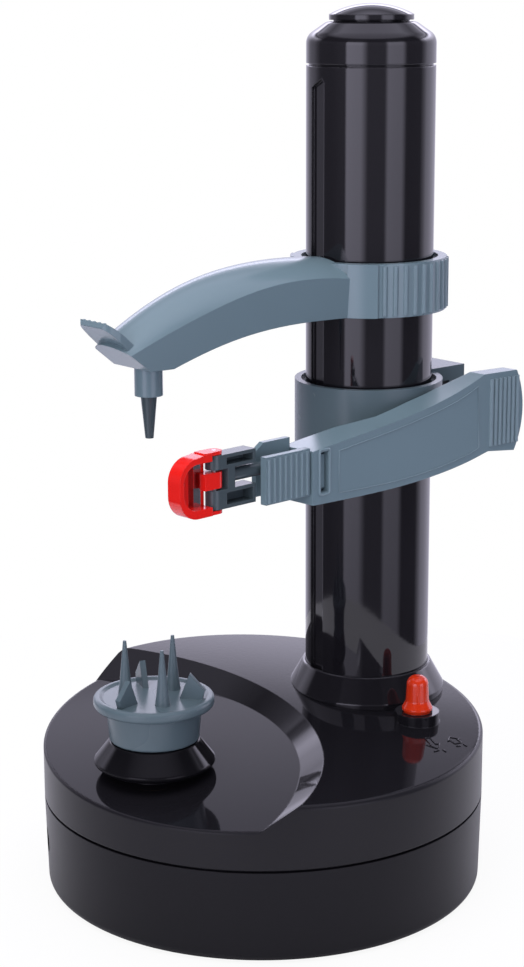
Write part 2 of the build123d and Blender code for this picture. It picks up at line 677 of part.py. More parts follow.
def with_battery_bay(tub):
    """The tub with the cells' bay, the door's seat and room for the door to swing down."""
    door_top = FOOT_STANDOFF + DOOR_THICKNESS
    hinge_y, hinge_z = door_hinge()
    tub += block(BAY_OUTER_X, BAY_OUTER_Y, (door_top, BAY_TOP + BAY_WALL))
    tub -= block(BAY_X, BAY_Y, (0, BAY_TOP))
    tub -= block(BAY_OUTER_X, (BAY_OUTER_Y[0], hinge_y), (0, door_top))
    tub -= block(BAY_OUTER_X, (hinge_y, hinge_y + DOOR_HINGE_RADIUS + GAP), (0, hinge_z))
    tub -= hinge_barrel(DOOR_HINGE_RADIUS + GAP, BAY_OUTER_X[1])
    pin_reach = BAY_OUTER_X[1] + DOOR_PIN_LENGTH
    return tub - hinge_barrel(DOOR_PIN_RADIUS + RUNNING_FIT, pin_reach)


def lower_housing():
    tub = with_battery_bay(lower_shell())
    for place in screw_places():
        tub += rod(POST_RADIUS, FOOT_STANDOFF, SEAM_HEIGHT, place)
        tub -= rod(SCREW_RADIUS + FIT, 0, SEAM_HEIGHT, place)
        tub -= rod(SCREW_HEAD_RADIUS + FIT, 0, SCREW_SINK, place)
    for place in plate_post_places():
        tub += rod(POST_RADIUS, FLOOR_TOP, PLATE_HEIGHT, place)
        tub -= rod(SCREW_RADIUS, PLATE_HEIGHT - SCREW_SINK, PLATE_HEIGHT, place)
    for place in foot_places():
        tub -= rod(FOOT_PAD_RADIUS, 0, FOOT_STANDOFF + FOOT_PAD_DEPTH, place)
    cup_outer = MOTOR_RADIUS + MOTOR_CUP_WALL
    tub += ring(cup_outer, MOTOR_RADIUS + FIT, FLOOR_TOP, FLOOR_TOP + MOTOR_CUP_HEIGHT, MOTOR)
    tub += rod(SPINDLE_RADIUS + SHAFT_REST_WALL, FLOOR_TOP, SPINDLE_FOOT - GAP, SPINDLE)
    return tub - inlet_form(INLET_RADIUS, INNER_RADIUS - INLET_FLANGE_GAP, BASE_RADIUS + CUT_PAST)


def screw_places():
    return [polar(SCREW_CIRCLE, angle) for angle in SCREW_ANGLES]


def plate_post_places():
    return [polar(PLATE_POST_CIRCLE, angle) for angle in PLATE_POSTS]


def foot_places():
    return [polar(FOOT_PAD_CIRCLE, 360 * index / FOOT_PAD_COUNT) for index in range(FOOT_PAD_COUNT)]


def rubber_feet():
    feet = []
    for place in foot_places():
        profile = [
            (0, 0),
            (FOOT_PAD_RADIUS - FOOT_PAD_TAPER, 0),
            (FOOT_PAD_RADIUS, FOOT_STANDOFF),
            (FOOT_PAD_RADIUS, FOOT_STANDOFF + FOOT_PAD_DEPTH),
            (0, FOOT_STANDOFF + FOOT_PAD_DEPTH),
        ]
        feet.append(turned(profile, place=place))
    return feet


def housing_screws():
    screws = []
    head_foot = SCREW_SINK - SCREW_HEAD_DEPTH
    for place in screw_places():
        screw = rod(SCREW_RADIUS, SCREW_SINK, SEAM_HEIGHT + SCREW_BITE, place)
        screw += rod(SCREW_HEAD_RADIUS, head_foot, SCREW_SINK, place)
        slot = Box(*SCREW_SLOT)
        cross = slot + Rot(0, 0, 90) * slot
        screws.append(screw - Pos(place[0], place[1], head_foot) * cross)
    return screws


def door_hinge():
    """(y, z) of the battery door's hinge line."""
    return (BAY_OUTER_Y[1], FOOT_STANDOFF + DOOR_HINGE_RADIUS)


def hinge_barrel(radius, reach):
    y, z = door_hinge()
    return Pos(0, y, z) * Rot(0, 90, 0) * Cylinder(radius, reach * 2)


def battery_door():
    reach = BAY_OUTER_X[1] - GAP
    front = BAY_OUTER_Y[0] + GAP
    plate_z = (FOOT_STANDOFF, FOOT_STANDOFF + DOOR_THICKNESS - GAP)
    door = block((-reach, reach), (front, door_hinge()[0]), plate_z)
    door += hinge_barrel(DOOR_HINGE_RADIUS, reach)
    door += hinge_barrel(DOOR_PIN_RADIUS, reach + DOOR_PIN_LENGTH)
    for side in (-1, 1):
        slit = sorted((side * TONGUE_HALF_WIDTH, side * (TONGUE_HALF_WIDTH + TONGUE_SLIT)))
        door -= block(slit, (front, front + TONGUE_LENGTH), plate_z)
    for line in range(TONGUE_GROOVES):
        start = front + TONGUE_GROOVE_STEP * (line + 1)
        groove_x = (-TONGUE_GROOVE_HALF, TONGUE_GROOVE_HALF)
        groove_z = (FOOT_STANDOFF, FOOT_STANDOFF + TONGUE_GROOVE_DEPTH)
        door -= block(groove_x, (start, start + TONGUE_GROOVE_STEP / 2), groove_z)
    return door


def cell_places():
    first = -(CELL_COUNT - 1) * CELL_PITCH / 2
    return [first + CELL_PITCH * index for index in range(CELL_COUNT)]


def aa_cells():
    can = rounded_face(
        [(0, 0), (CELL_RADIUS, 0), (CELL_RADIUS, CELL_LENGTH), (0, CELL_LENGTH)],
        [(1, CELL_EDGE_ROUND), (2, CELL_EDGE_ROUND)],
    )
    tip = Rot(90, 0, 0) * Cylinder(CELL_TIP_RADIUS, CELL_TIP_LENGTH)
    cell = revolve(can, Axis.Y) + Pos(0, CELL_LENGTH + CELL_TIP_LENGTH / 2, 0) * tip
    cell = Pos(0, -(CELL_LENGTH + CELL_TIP_LENGTH) / 2, 0) * cell
    cells = []
    for index, x in enumerate(cell_places()):
        turn = 0 if index % 2 else 180
        cells.append(Pos(x, BAY_CENTRE_Y, CELL_AXIS_HEIGHT) * Rot(0, 0, turn) * cell)
    return cells


def battery_contacts():
    """Spring-steel strips at both ends of the bay, bowed out where they press on a cell."""
    contacts = []
    plate_z = (CELL_AXIS_HEIGHT - CONTACT_HALF_HEIGHT, CELL_AXIS_HEIGHT + CONTACT_HALF_HEIGHT)
    for index, x in enumerate(cell_places()):
        facing = 1 if index % 2 else -1
        plate_x = (x - CONTACT_HALF_WIDTH, x + CONTACT_HALF_WIDTH)
        for end in (-1, 1):
            wall_y = BAY_CENTRE_Y + end * BAY_HALF_LENGTH
            inner_y = wall_y - end * CONTACT_THICKNESS
            plate = block(plate_x, sorted((wall_y, inner_y)), plate_z)
            middle = inner_y - end * CONTACT_SPRING / 2
            tip_radius, root_radius = CONTACT_BUTTON if end == facing else CONTACT_CONE
            cone = Rot(90 * end, 0, 0) * Cone(root_radius, tip_radius, CONTACT_SPRING)
            contacts.append(plate + Pos(x, middle, CELL_AXIS_HEIGHT) * cone)
    return contacts


def inlet_form(radius, inner, outer):
    """Round bar along the inlet's radial axis, between two distances from the base's axis."""
    middle = polar((inner + outer) / 2, INLET_ANGLE)
    turn = Rot(0, 0, INLET_ANGLE) * Rot(0, 90, 0)
    return Pos(middle[0], middle[1], INLET_HEIGHT) * turn * Cylinder(radius, outer - inner)


def dc_inlet():
    face = BASE_RADIUS - INLET_SET_BACK
    back = face - INLET_DEPTH
    jack = inlet_form(INLET_RADIUS - FIT, back, face)
    flange_back = INNER_RADIUS - INLET_DEPTH
    jack += inlet_form(INLET_RADIUS + INLET_FLANGE, flange_back, INNER_RADIUS - INLET_FLANGE_GAP)
    jack -= inlet_form(INLET_BORE_RADIUS, back + INLET_END_WALL, face + CUT_PAST)
    return jack + inlet_form(INLET_PIN_RADIUS, back + INLET_PIN_SET_BACK, face - INLET_PIN_SET_BACK)


def tray_cone(offset):
    """Cone of the tray's sloping side, grown outwards by the offset."""
    high = DECK_HEIGHT + DECK_RISE * BASE_RADIUS + CUT_PAST
    low_radius = TRAY_RADIUS - (DECK_HEIGHT - SEAM_HEIGHT) * TRAY_SLOPE + offset
    high_radius = TRAY_RADIUS + (high - DECK_HEIGHT) * TRAY_SLOPE + offset
    corners = [(0, SEAM_HEIGHT), (low_radius, SEAM_HEIGHT), (high_radius, high), (0, high)]
    return turned(corners, place=(TRAY_X, TRAY_Y))


def tray_form(offset):
    """The tray's recess, grown outwards by the offset."""
    return tray_cone(offset) & above(TRAY_FLOOR_HEIGHT - offset, TRAY_RISE_X, TRAY_RISE_Y)


def sloped_drum(height, rise_x, rise_y, edge_round):
    """Drum above the seam whose sloping top has a rounded edge."""
    top = height + BASE_RADIUS * (abs(rise_x) + abs(rise_y)) + edge_round
    drum = rod(BASE_RADIUS, SEAM_HEIGHT + SEAM_GROOVE, top) - above(height, rise_x, rise_y)
    return fillet(drum.faces().sort_by(Axis.Z)[-1].edges(), edge_round)


def upper_shell():
    """Hollow drum with the deck, the tray and the seat of the lower housing's lip."""
    foot = SEAM_HEIGHT + SEAM_GROOVE
    shell = sloped_drum(DECK_HEIGHT, 0, DECK_RISE, DECK_EDGE_ROUND) - tray_cone(0)
    floor = sloped_drum(TRAY_FLOOR_HEIGHT, TRAY_RISE_X, TRAY_RISE_Y, TRAY_EDGE_ROUND)
    shell += floor & tray_cone(CUT_PAST)
    cavity = rod(INNER_RADIUS, foot, DECK_HEIGHT + DECK_RISE * BASE_RADIUS)
    cavity -= above(DECK_HEIGHT - WALL, 0, DECK_RISE)
    shell -= cavity - tray_form(WALL)
    return shell - rod(INNER_RADIUS + LIP_THICKNESS + FIT, foot, SEAM_HEIGHT + LIP_HEIGHT)


def upper_housing():
    shell = upper_shell()
    over_deck = above(DECK_HEIGHT - WALL / 2, 0, DECK_RISE) + tray_form(0)
    socket_foot = COLUMN_FOOT_HEIGHT - SOCKET_WALL
    socket_outer = COLUMN_RADIUS + FIT + SOCKET_WALL
    shell += rod(socket_outer, socket_foot, SKIRT_TOP, COLUMN) - over_deck
    shell -= rod(COLUMN_RADIUS + FIT, COLUMN_FOOT_HEIGHT, SKIRT_TOP, COLUMN)
    shell -= rod(COLUMN_RADIUS - COLUMN_WALL - CUT_PAST, 0, SKIRT_TOP, COLUMN)
    bush_foot = BUSH_SEAT_HEIGHT - BUSH_LENGTH
    shell += rod(BUSH_RADIUS + WALL, bush_foot, BUSH_SEAT_HEIGHT, SPINDLE)
    shell -= rod(BUSH_RADIUS, 0, SKIRT_TOP, SPINDLE)
    collar_foot = DECK_HEIGHT + DECK_RISE * SWITCH_Y - WALL
    shell += rod(SWITCH_COLLAR_RADIUS, collar_foot, SWITCH_COLLAR_TOP, SWITCH)
    shell -= rod(KNOB_STEM_RADIUS + GAP, collar_foot - CUT_PAST, SWITCH_COLLAR_TOP, SWITCH)
    for place in screw_places():
        shell += rod(POST_RADIUS, SEAM_HEIGHT, DECK_HEIGHT + DECK_RISE * BASE_RADIUS, place) - over_deck
        shell -= rod(SCREW_RADIUS, SEAM_HEIGHT, SEAM_HEIGHT + SCREW_BITE + CUT_PAST, place)
    return shell


def gear_plate():
    plate = rod(PLATE_RADIUS, PLATE_HEIGHT, PLATE_TOP)
    plate -= rod(MOTOR_RADIUS + FIT, PLATE_HEIGHT, PLATE_TOP, MOTOR)
    plate -= rod(SPINDLE_RADIUS + RUNNING_FIT, PLATE_HEIGHT, PLATE_TOP, SPINDLE)
    plate -= rod(SCREW_JOURNAL_RADIUS + RUNNING_FIT, PLATE_HEIGHT, PLATE_TOP, COLUMN)
    plate -= rod(AXLE_RADIUS, PLATE_HEIGHT, PLATE_TOP, IDLER)
    plate -= rod(AXLE_RADIUS, PLATE_HEIGHT, PLATE_TOP, STEP)
    for place in screw_places():
        plate -= rod(POST_RADIUS + GAP, PLATE_HEIGHT, PLATE_TOP, place)
    for place in plate_post_places():
        plate -= rod(SCREW_RADIUS + FIT, PLATE_HEIGHT, PLATE_TOP, place)
    return plate


def plate_screws():
    screws = []
    for place in plate_post_places():
        screw = rod(SCREW_RADIUS, PLATE_HEIGHT - SCREW_SINK, PLATE_TOP, place)
        screws.append(screw + rod(SCREW_HEAD_RADIUS, PLATE_TOP, PLATE_TOP + PLATE_SCREW_HEAD, place))
    return screws


def drive_motor():
    top = FLOOR_TOP + MOTOR_LENGTH
    boss_top = top + MOTOR_BOSS_HEIGHT
    can = turned(
        [(0, FLOOR_TOP), (MOTOR_RADIUS, FLOOR_TOP), (MOTOR_RADIUS, top), (0, top)],
        [(1, MOTOR_EDGE_ROUND), (2, MOTOR_EDGE_ROUND)],
        MOTOR,
    )
    can += rod(MOTOR_BOSS_RADIUS, top, boss_top, MOTOR)
    return can - rod(MOTOR_SHAFT_RADIUS + RUNNING_FIT, top - MOTOR_SHAFT_DEPTH, boss_top, MOTOR)


def motor_shaft():
    low = FLOOR_TOP + MOTOR_LENGTH - MOTOR_SHAFT_DEPTH + GAP
    return rod(MOTOR_SHAFT_RADIUS, low, FINE_TOP + MOTOR_SHAFT_PROUD, MOTOR)


# ---------------------------------------------------------------- spindle
def shaft_top():
    return HUB_TOP_HEIGHT + DRIVE_HEX_HEIGHT - SHAFT_CAP


def spindle_shaft():
    return rod(SPINDLE_RADIUS, SPINDLE_FOOT, shaft_top(), SPINDLE)


def spindle_bush():
    seat = BUSH_SEAT_HEIGHT
    body = rod(BUSH_RADIUS, seat - BUSH_LENGTH, seat, SPINDLE)
    body += rod(BUSH_RADIUS + BUSH_FLANGE, seat, seat + BUSH_FLANGE_THICKNESS, SPINDLE)
    return body - rod(SPINDLE_RADIUS + RUNNING_FIT, seat - BUSH_LENGTH, seat + CUT_PAST, SPINDLE)


def hexagon(across_flats, low, high):
    outline = Pos(*SPINDLE, low) * RegularPolygon(across_flats / 2, 6, major_radius=False)
    return extrude(outline, high - low)


def drive_hub():
    """Black skirt fixed on the shaft; its hexagon turns the cup."""
    hub = turned(
        [
            (0, HUB_FOOT_HEIGHT),
            (HUB_RADIUS - HUB_CHAMFER, HUB_FOOT_HEIGHT),
            (HUB_RADIUS, HUB_EDGE_HEIGHT),
            (HUB_TOP_RADIUS, HUB_TOP_HEIGHT),
            (0, HUB_TOP_HEIGHT),
        ],
        [(1, HUB_RIM_ROUND), (2, HUB_WAIST_ROUND), (3, HUB_TOP_ROUND)],
        SPINDLE,
    )
    hub += hexagon(DRIVE_HEX, HUB_TOP_HEIGHT, HUB_TOP_HEIGHT + DRIVE_HEX_HEIGHT)
    return hub - rod(SPINDLE_RADIUS, HUB_FOOT_HEIGHT, shaft_top(), SPINDLE)


def prong_cup():
    rim_inner = CUP_FLANGE_RADIUS - CUP_RIM
    cup = turned(
        [
            (0, CUP_FOOT_HEIGHT),
            (CUP_FOOT_RADIUS, CUP_FOOT_HEIGHT),
            (CUP_NECK_RADIUS, CUP_NECK_HEIGHT),
            (CUP_FLANGE_RADIUS, CUP_NECK_HEIGHT),
            (CUP_FLANGE_RADIUS, CUP_FLANGE_HEIGHT),
            (rim_inner, CUP_FLANGE_HEIGHT),
            (rim_inner - CUP_RIM_SLOPE, CUP_DISH_HEIGHT),
            (0, CUP_DISH_HEIGHT),
        ],
        [
            (1, CUP_EDGE_ROUND),
            (2, CUP_EDGE_ROUND),
            (3, CUP_FLANGE_ROUND),
            (4, CUP_RIM_ROUND),
            (5, CUP_DISH_ROUND),
        ],
        SPINDLE,
    )
    for angle in FIN_ANGLES:
        cup += fin(angle)
    for angle in PRONG_ANGLES:
        cup += prong(angle)
    hex_top = HUB_TOP_HEIGHT + DRIVE_HEX_HEIGHT + GAP
    return cup - hexagon(DRIVE_HEX + HEX_CLEARANCE * 2, CUP_FOOT_HEIGHT, hex_top)


def prong(angle):
    """Round spike with a flared root."""
    foot = CUP_DISH_HEIGHT - ROOT_SINK
    outline = [
        (0, foot),
        (PRONG_RADIUS * PRONG_FLARE, foot),
        (PRONG_RADIUS, foot + PRONG_FLARE_HEIGHT),
        (PRONG_TIP_RADIUS, PRONG_TIP_HEIGHT),
        (0, PRONG_TIP_HEIGHT),
    ]
    return turned(outline, place=polar(PRONG_CIRCLE, angle, SPINDLE))


def fin(angle):
    """Upright triangular plate that stands on the dish and stops the fruit from slipping."""
    outline = [(reach, CUP_DISH_HEIGHT + rise) for reach, rise in FIN_OUTLINE]
    plate = from_side(outline, (), -FIN_THICKNESS / 2, FIN_THICKNESS / 2)
    return Pos(*SPINDLE, 0) * Rot(0, 0, angle) * plate


# ---------------------------------------------------------------- switch
def switch_knob():
    knob = turned(
        [
            (0, KNOB_FOOT),
            (KNOB_RADIUS, KNOB_FOOT),
            (KNOB_RADIUS, KNOB_FOOT + KNOB_FLANGE_THICKNESS),
            (KNOB_WAIST_RADIUS, KNOB_FOOT + KNOB_WAIST_RISE),
            (KNOB_TOP_RADIUS, KNOB_TOP),
            (0, KNOB_TOP),
        ],
        [(1, KNOB_RIM_ROUND), (2, KNOB_RIM_ROUND), (3, KNOB_WAIST_ROUND), (4, KNOB_TIP_ROUND)],
        SWITCH,
    )
    return knob + rod(KNOB_STEM_RADIUS, KNOB_FOOT - KNOB_STEM_LENGTH, KNOB_FOOT, SWITCH)


def switch_rod():
    low = PLATE_TOP + SWITCH_BODY[2] - SWITCH_ROD_SINK
    return rod(SWITCH_ROD_RADIUS, low, KNOB_FOOT - KNOB_STEM_LENGTH, SWITCH)


def switch_body():
    """Snap switch that stands on the gear plate, with its plunger hole on top."""
    wide, deep, tall = SWITCH_BODY
    tag_length, tag_half, tag_thickness = SWITCH_TAG
    top = PLATE_TOP + tall
    body = block(
        (SWITCH_X - wide / 2, SWITCH_X + wide / 2),
        (SWITCH_Y - deep / 2, SWITCH_Y + deep / 2),
        (PLATE_TOP, top),
    )
    body -= rod(SWITCH_ROD_RADIUS + RUNNING_FIT, top - SWITCH_BORE_DEPTH, top, SWITCH)
    tag_foot = PLATE_TOP + SWITCH_TAG_HEIGHT
    for side in (-1, 1):
        x = SWITCH_X + side * wide / 2
        tag_x = sorted((x, x + side * tag_length))
        tag_y = (SWITCH_Y - tag_half, SWITCH_Y + tag_half)
        body += block(tag_x, tag_y, (tag_foot, tag_foot + tag_thickness))
    return body


# ---------------------------------------------------------------- column
def on_key_side(solid):
    """Turns what was made on the column's -X side to the side with the keyway."""
    return Pos(COLUMN_X, 0, 0) * Rot(0, 0, KEYWAY_TURN) * Pos(-COLUMN_X, 0, 0) * solid


def keyway():
    """Long groove down the column with a slanted top."""
    half = KEYWAY_WIDTH / 2
    outline = [
        (-half, KEYWAY_FOOT),
        (half, KEYWAY_FOOT),
        (half, KEYWAY_TOP - KEYWAY_SLANT),
        (-half * KEYWAY_PEAK, KEYWAY_TOP),
        (-half, KEYWAY_TOP - KEYWAY_DEPTH),
    ]
    face = Plane.YZ.offset(COLUMN_X - COLUMN_RADIUS - CUT_PAST) * rounded_face(outline)
    return on_key_side(extrude(face, KEYWAY_DEPTH + CUT_PAST))


def column_tube():
    inner = COLUMN_RADIUS - COLUMN_WALL
    tube = ring(COLUMN_RADIUS, inner, COLUMN_FOOT_HEIGHT, COLUMN_TOP, COLUMN) - keyway()
    half = NUT_SLOT_WIDTH / 2
    slot_x = (COLUMN_X + inner - COLUMN_WALL, COLUMN_X + COLUMN_RADIUS + CUT_PAST)
    return tube - block(slot_x, (-half, half), (NUT_SLOT_FOOT, NUT_SLOT_TOP))


def column_foot():
    """Flared ring that hides the column's socket and stands on the sloping deck."""
    inner = COLUMN_RADIUS + FIT
    foot = DECK_HEIGHT - DECK_RISE * SKIRT_RADIUS - CUT_PAST
    skirt = turned(
        [
            (inner, foot),
            (SKIRT_RADIUS, foot),
            (SKIRT_RADIUS, SKIRT_LIP_TOP),
            (inner + SKIRT_LIP, SKIRT_TOP),
            (inner, SKIRT_TOP),
        ],
        [(3, SKIRT_ROUND)],
        COLUMN,
    )
    return skirt & above(DECK_HEIGHT, 0, DECK_RISE)


def column_cap():
    seam_top = COLUMN_TOP + CAP_SEAM
    cap = turned(
        [
            (0, seam_top),
            (COLUMN_RADIUS, seam_top),
            (COLUMN_RADIUS, CAP_SHOULDER_HEIGHT),
            (CAP_TOP_RADIUS, CAP_TOP),
            (0, CAP_TOP),
        ],
        [(2, CAP_SHOULDER_ROUND), (3, CAP_TOP_ROUND)],
        COLUMN,
    )
    bush_top = COLUMN_TOP - CAP_SPIGOT_DEPTH
    cap += rod(COLUMN_RADIUS - COLUMN_WALL - FIT, bush_top, seam_top, COLUMN)
    cap += rod(COLUMN_RADIUS - CAP_SEAM_DEPTH, COLUMN_TOP, seam_top, COLUMN)
    journal_room = SCREW_JOURNAL_RADIUS + JOURNAL_END_GAP
    cap -= rod(journal_room, bush_top, bush_top + TOP_JOURNAL_LENGTH, COLUMN)
    return cap - rod(DOME_STEM_RADIUS, CAP_TOP - DOME_STEM_DEPTH, CAP_TOP, COLUMN)


def cap_dome():
    rim_foot = CAP_TOP + DOME_GAP
    rim_top = rim_foot + DOME_RIM
    stem_foot = CAP_TOP - DOME_STEM_DEPTH
    dome = turned(
        [
            (0, stem_foot),
            (DOME_STEM_RADIUS, stem_foot),
            (DOME_STEM_RADIUS, CAP_TOP),
            (DOME_NECK_RADIUS, CAP_TOP),
            (DOME_NECK_RADIUS, rim_foot),
            (DOME_RADIUS, rim_foot),
            (DOME_RADIUS, rim_top),
            (0, rim_top),
        ],
        (),
        COLUMN,
    )
    rise = DOME_TOP - rim_top
    sphere_radius = (DOME_RADIUS**2 + rise**2) / (2 * rise)
    ball = Pos(COLUMN_X, 0, DOME_TOP - sphere_radius) * Sphere(sphere_radius)
    return dome + (ball & rod(DOME_RADIUS, rim_top, DOME_TOP + CUT_PAST, COLUMN))


def top_bush():
    low = COLUMN_TOP - CAP_SPIGOT_DEPTH - TOP_BUSH_THICKNESS
    disc = rod(COLUMN_RADIUS - COLUMN_WALL - FIT, low, low + TOP_BUSH_THICKNESS, COLUMN)
    return disc - rod(SCREW_JOURNAL_RADIUS + RUNNING_FIT, low, low + TOP_BUSH_THICKNESS, COLUMN)


def lead_screw():
    bush_foot = COLUMN_TOP - CAP_SPIGOT_DEPTH - TOP_BUSH_THICKNESS
    screw = rod(SCREW_JOURNAL_RADIUS, SCREW_JOURNAL_FOOT, SCREW_SHAFT_FOOT, COLUMN)
    screw += rod(SCREW_SHAFT_RADIUS, SCREW_SHAFT_FOOT, bush_foot - GAP, COLUMN)
    journal_top = bush_foot + TOP_BUSH_THICKNESS + TOP_JOURNAL_LENGTH - JOURNAL_END_GAP
    return screw + rod(SCREW_JOURNAL_RADIUS, bush_foot - GAP, journal_top, COLUMN)


def sleeve_bore(low, high):
    """What a sleeve leaves free: the column, its key left standing, and a wide mouth on top."""
    mouth = high - SLEEVE_MOUTH_DEPTH
    bore = rod(SLEEVE_BORE, low, high, COLUMN)
    bore += rod(SLEEVE_MOUTH_RADIUS, mouth, high, COLUMN)
    key_half = KEYWAY_WIDTH / 2 - KEY_SIDE_CLEARANCE
    inner = COLUMN_X - COLUMN_RADIUS + KEYWAY_DEPTH - KEY_CLEARANCE
    return bore - on_key_side(block((inner - KEY_ROOT, inner), (-key_half, key_half), (low, mouth)))


# ---------------------------------------------------------------- holding arm
def arm_section(share, bottom, shoulder, crest, half_width):
    """Cross-section of the holding arm: flat below, straight sides, crowned top."""
    low = HOLDER_FOOT + bottom
    side = HOLDER_FOOT + shoulder
    foot_half = half_width * ARM_TAPER
    walls = Polyline((half_width, side), (foot_half, low), (-foot_half, low), (-half_width, side))
    crown = ThreePointArc((-half_width, side), (0, HOLDER_FOOT + crest), (half_width, side))
    return Plane.YZ.offset(COLUMN_X - share * ARM_SPAN) * make_face(walls + crown)


def beyond_spindle(points):
    """Side view points from distances beyond the spindle and heights above the pin block."""
    return [(SPINDLE_X - reach, PIN_BLOCK_HEIGHT + rise) for reach, rise in points]


def holder_arm_body():
    """Arched arm from the ring to the pin, lofted through its cross-sections."""
    sections = [arm_section(*row) for row in ARM_SECTIONS]
    end = beyond_spindle(ARM_END_OUTLINE)
    return loft(sections) & from_side(end, (), -HOLDER_RADIUS, HOLDER_RADIUS)


def thumb_tab():
    """Curved spoon at the arm's end that lifts the pin off the fruit."""
    under = beyond_spindle(TAB_UNDER)
    over = beyond_spindle(TAB_OVER)
    edges = Spline(*under) + Line(under[-1], over[0]) + Spline(*over) + Line(over[-1], under[0])
    half = TAB_HALF_WIDTH
    plate = extrude(Plane.XZ.offset(-half) * make_face(edges), half * 2)
    root_x = SPINDLE_X - TAB_ROOT
    wide_x = SPINDLE_X - TAB_WIDE
    end_x = SPINDLE_X - TAB_END
    waist = half - TAB_WAIST
    plan = [(root_x, -waist), (root_x, waist), (wide_x, half)]
    plan += [(end_x, waist), (end_x, -waist), (wide_x, -half)]
    rounds = [(3, TAB_ROUND), (4, TAB_ROUND)]
    return plate & from_above(plan, rounds, PIN_BLOCK_HEIGHT - CUT_PAST, HOLDER_TOP)


def ring_panels():
    """Smooth raised fields of the ring, between the arm and the ribs on both sides."""
    near, far = HOLDER_PANEL_ANGLES
    band = rod(HOLDER_RADIUS + HOLDER_PANEL_PROUD, HOLDER_FOOT, HOLDER_TOP, COLUMN)
    panels = []
    for side in (-1, 1):
        corners = [COLUMN, polar(HOLDER_RADIUS * 2, side * near, COLUMN)]
        corners += [polar(HOLDER_RADIUS * 2, side * far, COLUMN)]
        panels.append(band & from_above(corners, (), HOLDER_FOOT, HOLDER_TOP))
    return panels[0] + panels[1]


def upper_arm():
    arm = holder_arm_body() + thumb_tab() + ring_panels()
    arm += rod(HOLDER_RADIUS, HOLDER_FOOT, HOLDER_TOP, COLUMN)
    step = HOLDER_RIB_SPAN / (HOLDER_RIB_COUNT - 1)
    rib_low = HOLDER_FOOT + HOLDER_RIB_INSET
    rib_high = HOLDER_TOP - HOLDER_RIB_INSET
    for index in range(HOLDER_RIB_COUNT):
        place = polar(HOLDER_RADIUS - HOLDER_RIB_SINK, -HOLDER_RIB_SPAN / 2 + step * index, COLUMN)
        arm += rod(HOLDER_RIB_RADIUS, rib_low, rib_high, place)
    arm -= sleeve_bore(HOLDER_FOOT, HOLDER_TOP)
    arm -= rod(SLEEVE_MOUTH_RADIUS, HOLDER_TOP, HOLDER_TOP + SLEEVE_MOUTH_RADIUS, COLUMN)
    arm -= rod(SLEEVE_BORE, PIN_BLOCK_HEIGHT, HOLDER_FOOT, COLUMN)
    head_room = PIN_HEAD_THICKNESS + GAP * 2
    return arm - rod(PIN_HEAD_RADIUS + GAP, PIN_BLOCK_HEIGHT, PIN_BLOCK_HEIGHT + head_room, SPINDLE)


def pin_socket():
    socket = rod(PIN_SOCKET_RADIUS, PIN_SOCKET_FOOT, PIN_BLOCK_HEIGHT, SPINDLE)
    return socket - rod(PIN_SHANK_RADIUS + RUNNING_FIT, PIN_SOCKET_FOOT, PIN_BLOCK_HEIGHT, SPINDLE)


def centre_pin():
    shoulder = PIN_SOCKET_FOOT - GAP
    head_low = PIN_BLOCK_HEIGHT + GAP
    return turned(
        [
            (0, PIN_TIP_HEIGHT),
            (PIN_TIP_RADIUS, PIN_TIP_HEIGHT),
            (PIN_CONE_RADIUS, shoulder),
            (PIN_SHANK_RADIUS, shoulder),
            (PIN_SHANK_RADIUS, head_low),
            (PIN_HEAD_RADIUS, head_low),
            (PIN_HEAD_RADIUS, head_low + PIN_HEAD_THICKNESS),
            (0, head_low + PIN_HEAD_THICKNESS),
        ],
        (),
        SPINDLE,
    )


# ---------------------------------------------------------------- carriage
def nut_box():
    """Block on the sleeve's far side, hollow for the half nut and its button."""
    wide = NUT_BOX_HALF_WIDTH
    inner = wide - NUT_BOX_WALL
    start = COLUMN_X + SLEEVE_BORE - CUT_PAST
    box = block((start, NUT_BOX_END), (-wide, wide), (NUT_BOX_FOOT, NUT_BOX_TOP))
    box -= block((start, NUT_BOX_END), (-inner, inner), (NUT_FOOT - GAP, NUT_TOP + GAP))
    box -= block(cover_x(), *cover_sides(0))
    guide = BUTTON_WIDTH / 2 + BUTTON_SLIDE
    guide_x = (BUTTON_X - guide, BUTTON_X + guide)
    return box - block(guide_x, (-wide, 0), (BUTTON_FOOT - BUTTON_SLIDE, BUTTON_TOP + BUTTON_SLIDE))


def cover_x():
    return (NUT_BOX_END - NUT_COVER_THICKNESS, NUT_BOX_END)


def cover_sides(play):
    """Widths in Y and Z of the nut box's cover, smaller by the play all round."""
    half = NUT_BOX_HALF_WIDTH - NUT_BOX_WALL + NUT_COVER_RIM - play
    rise = GAP + NUT_COVER_RIM - play
    return ((-half, half), (NUT_FOOT - rise, NUT_TOP + rise))


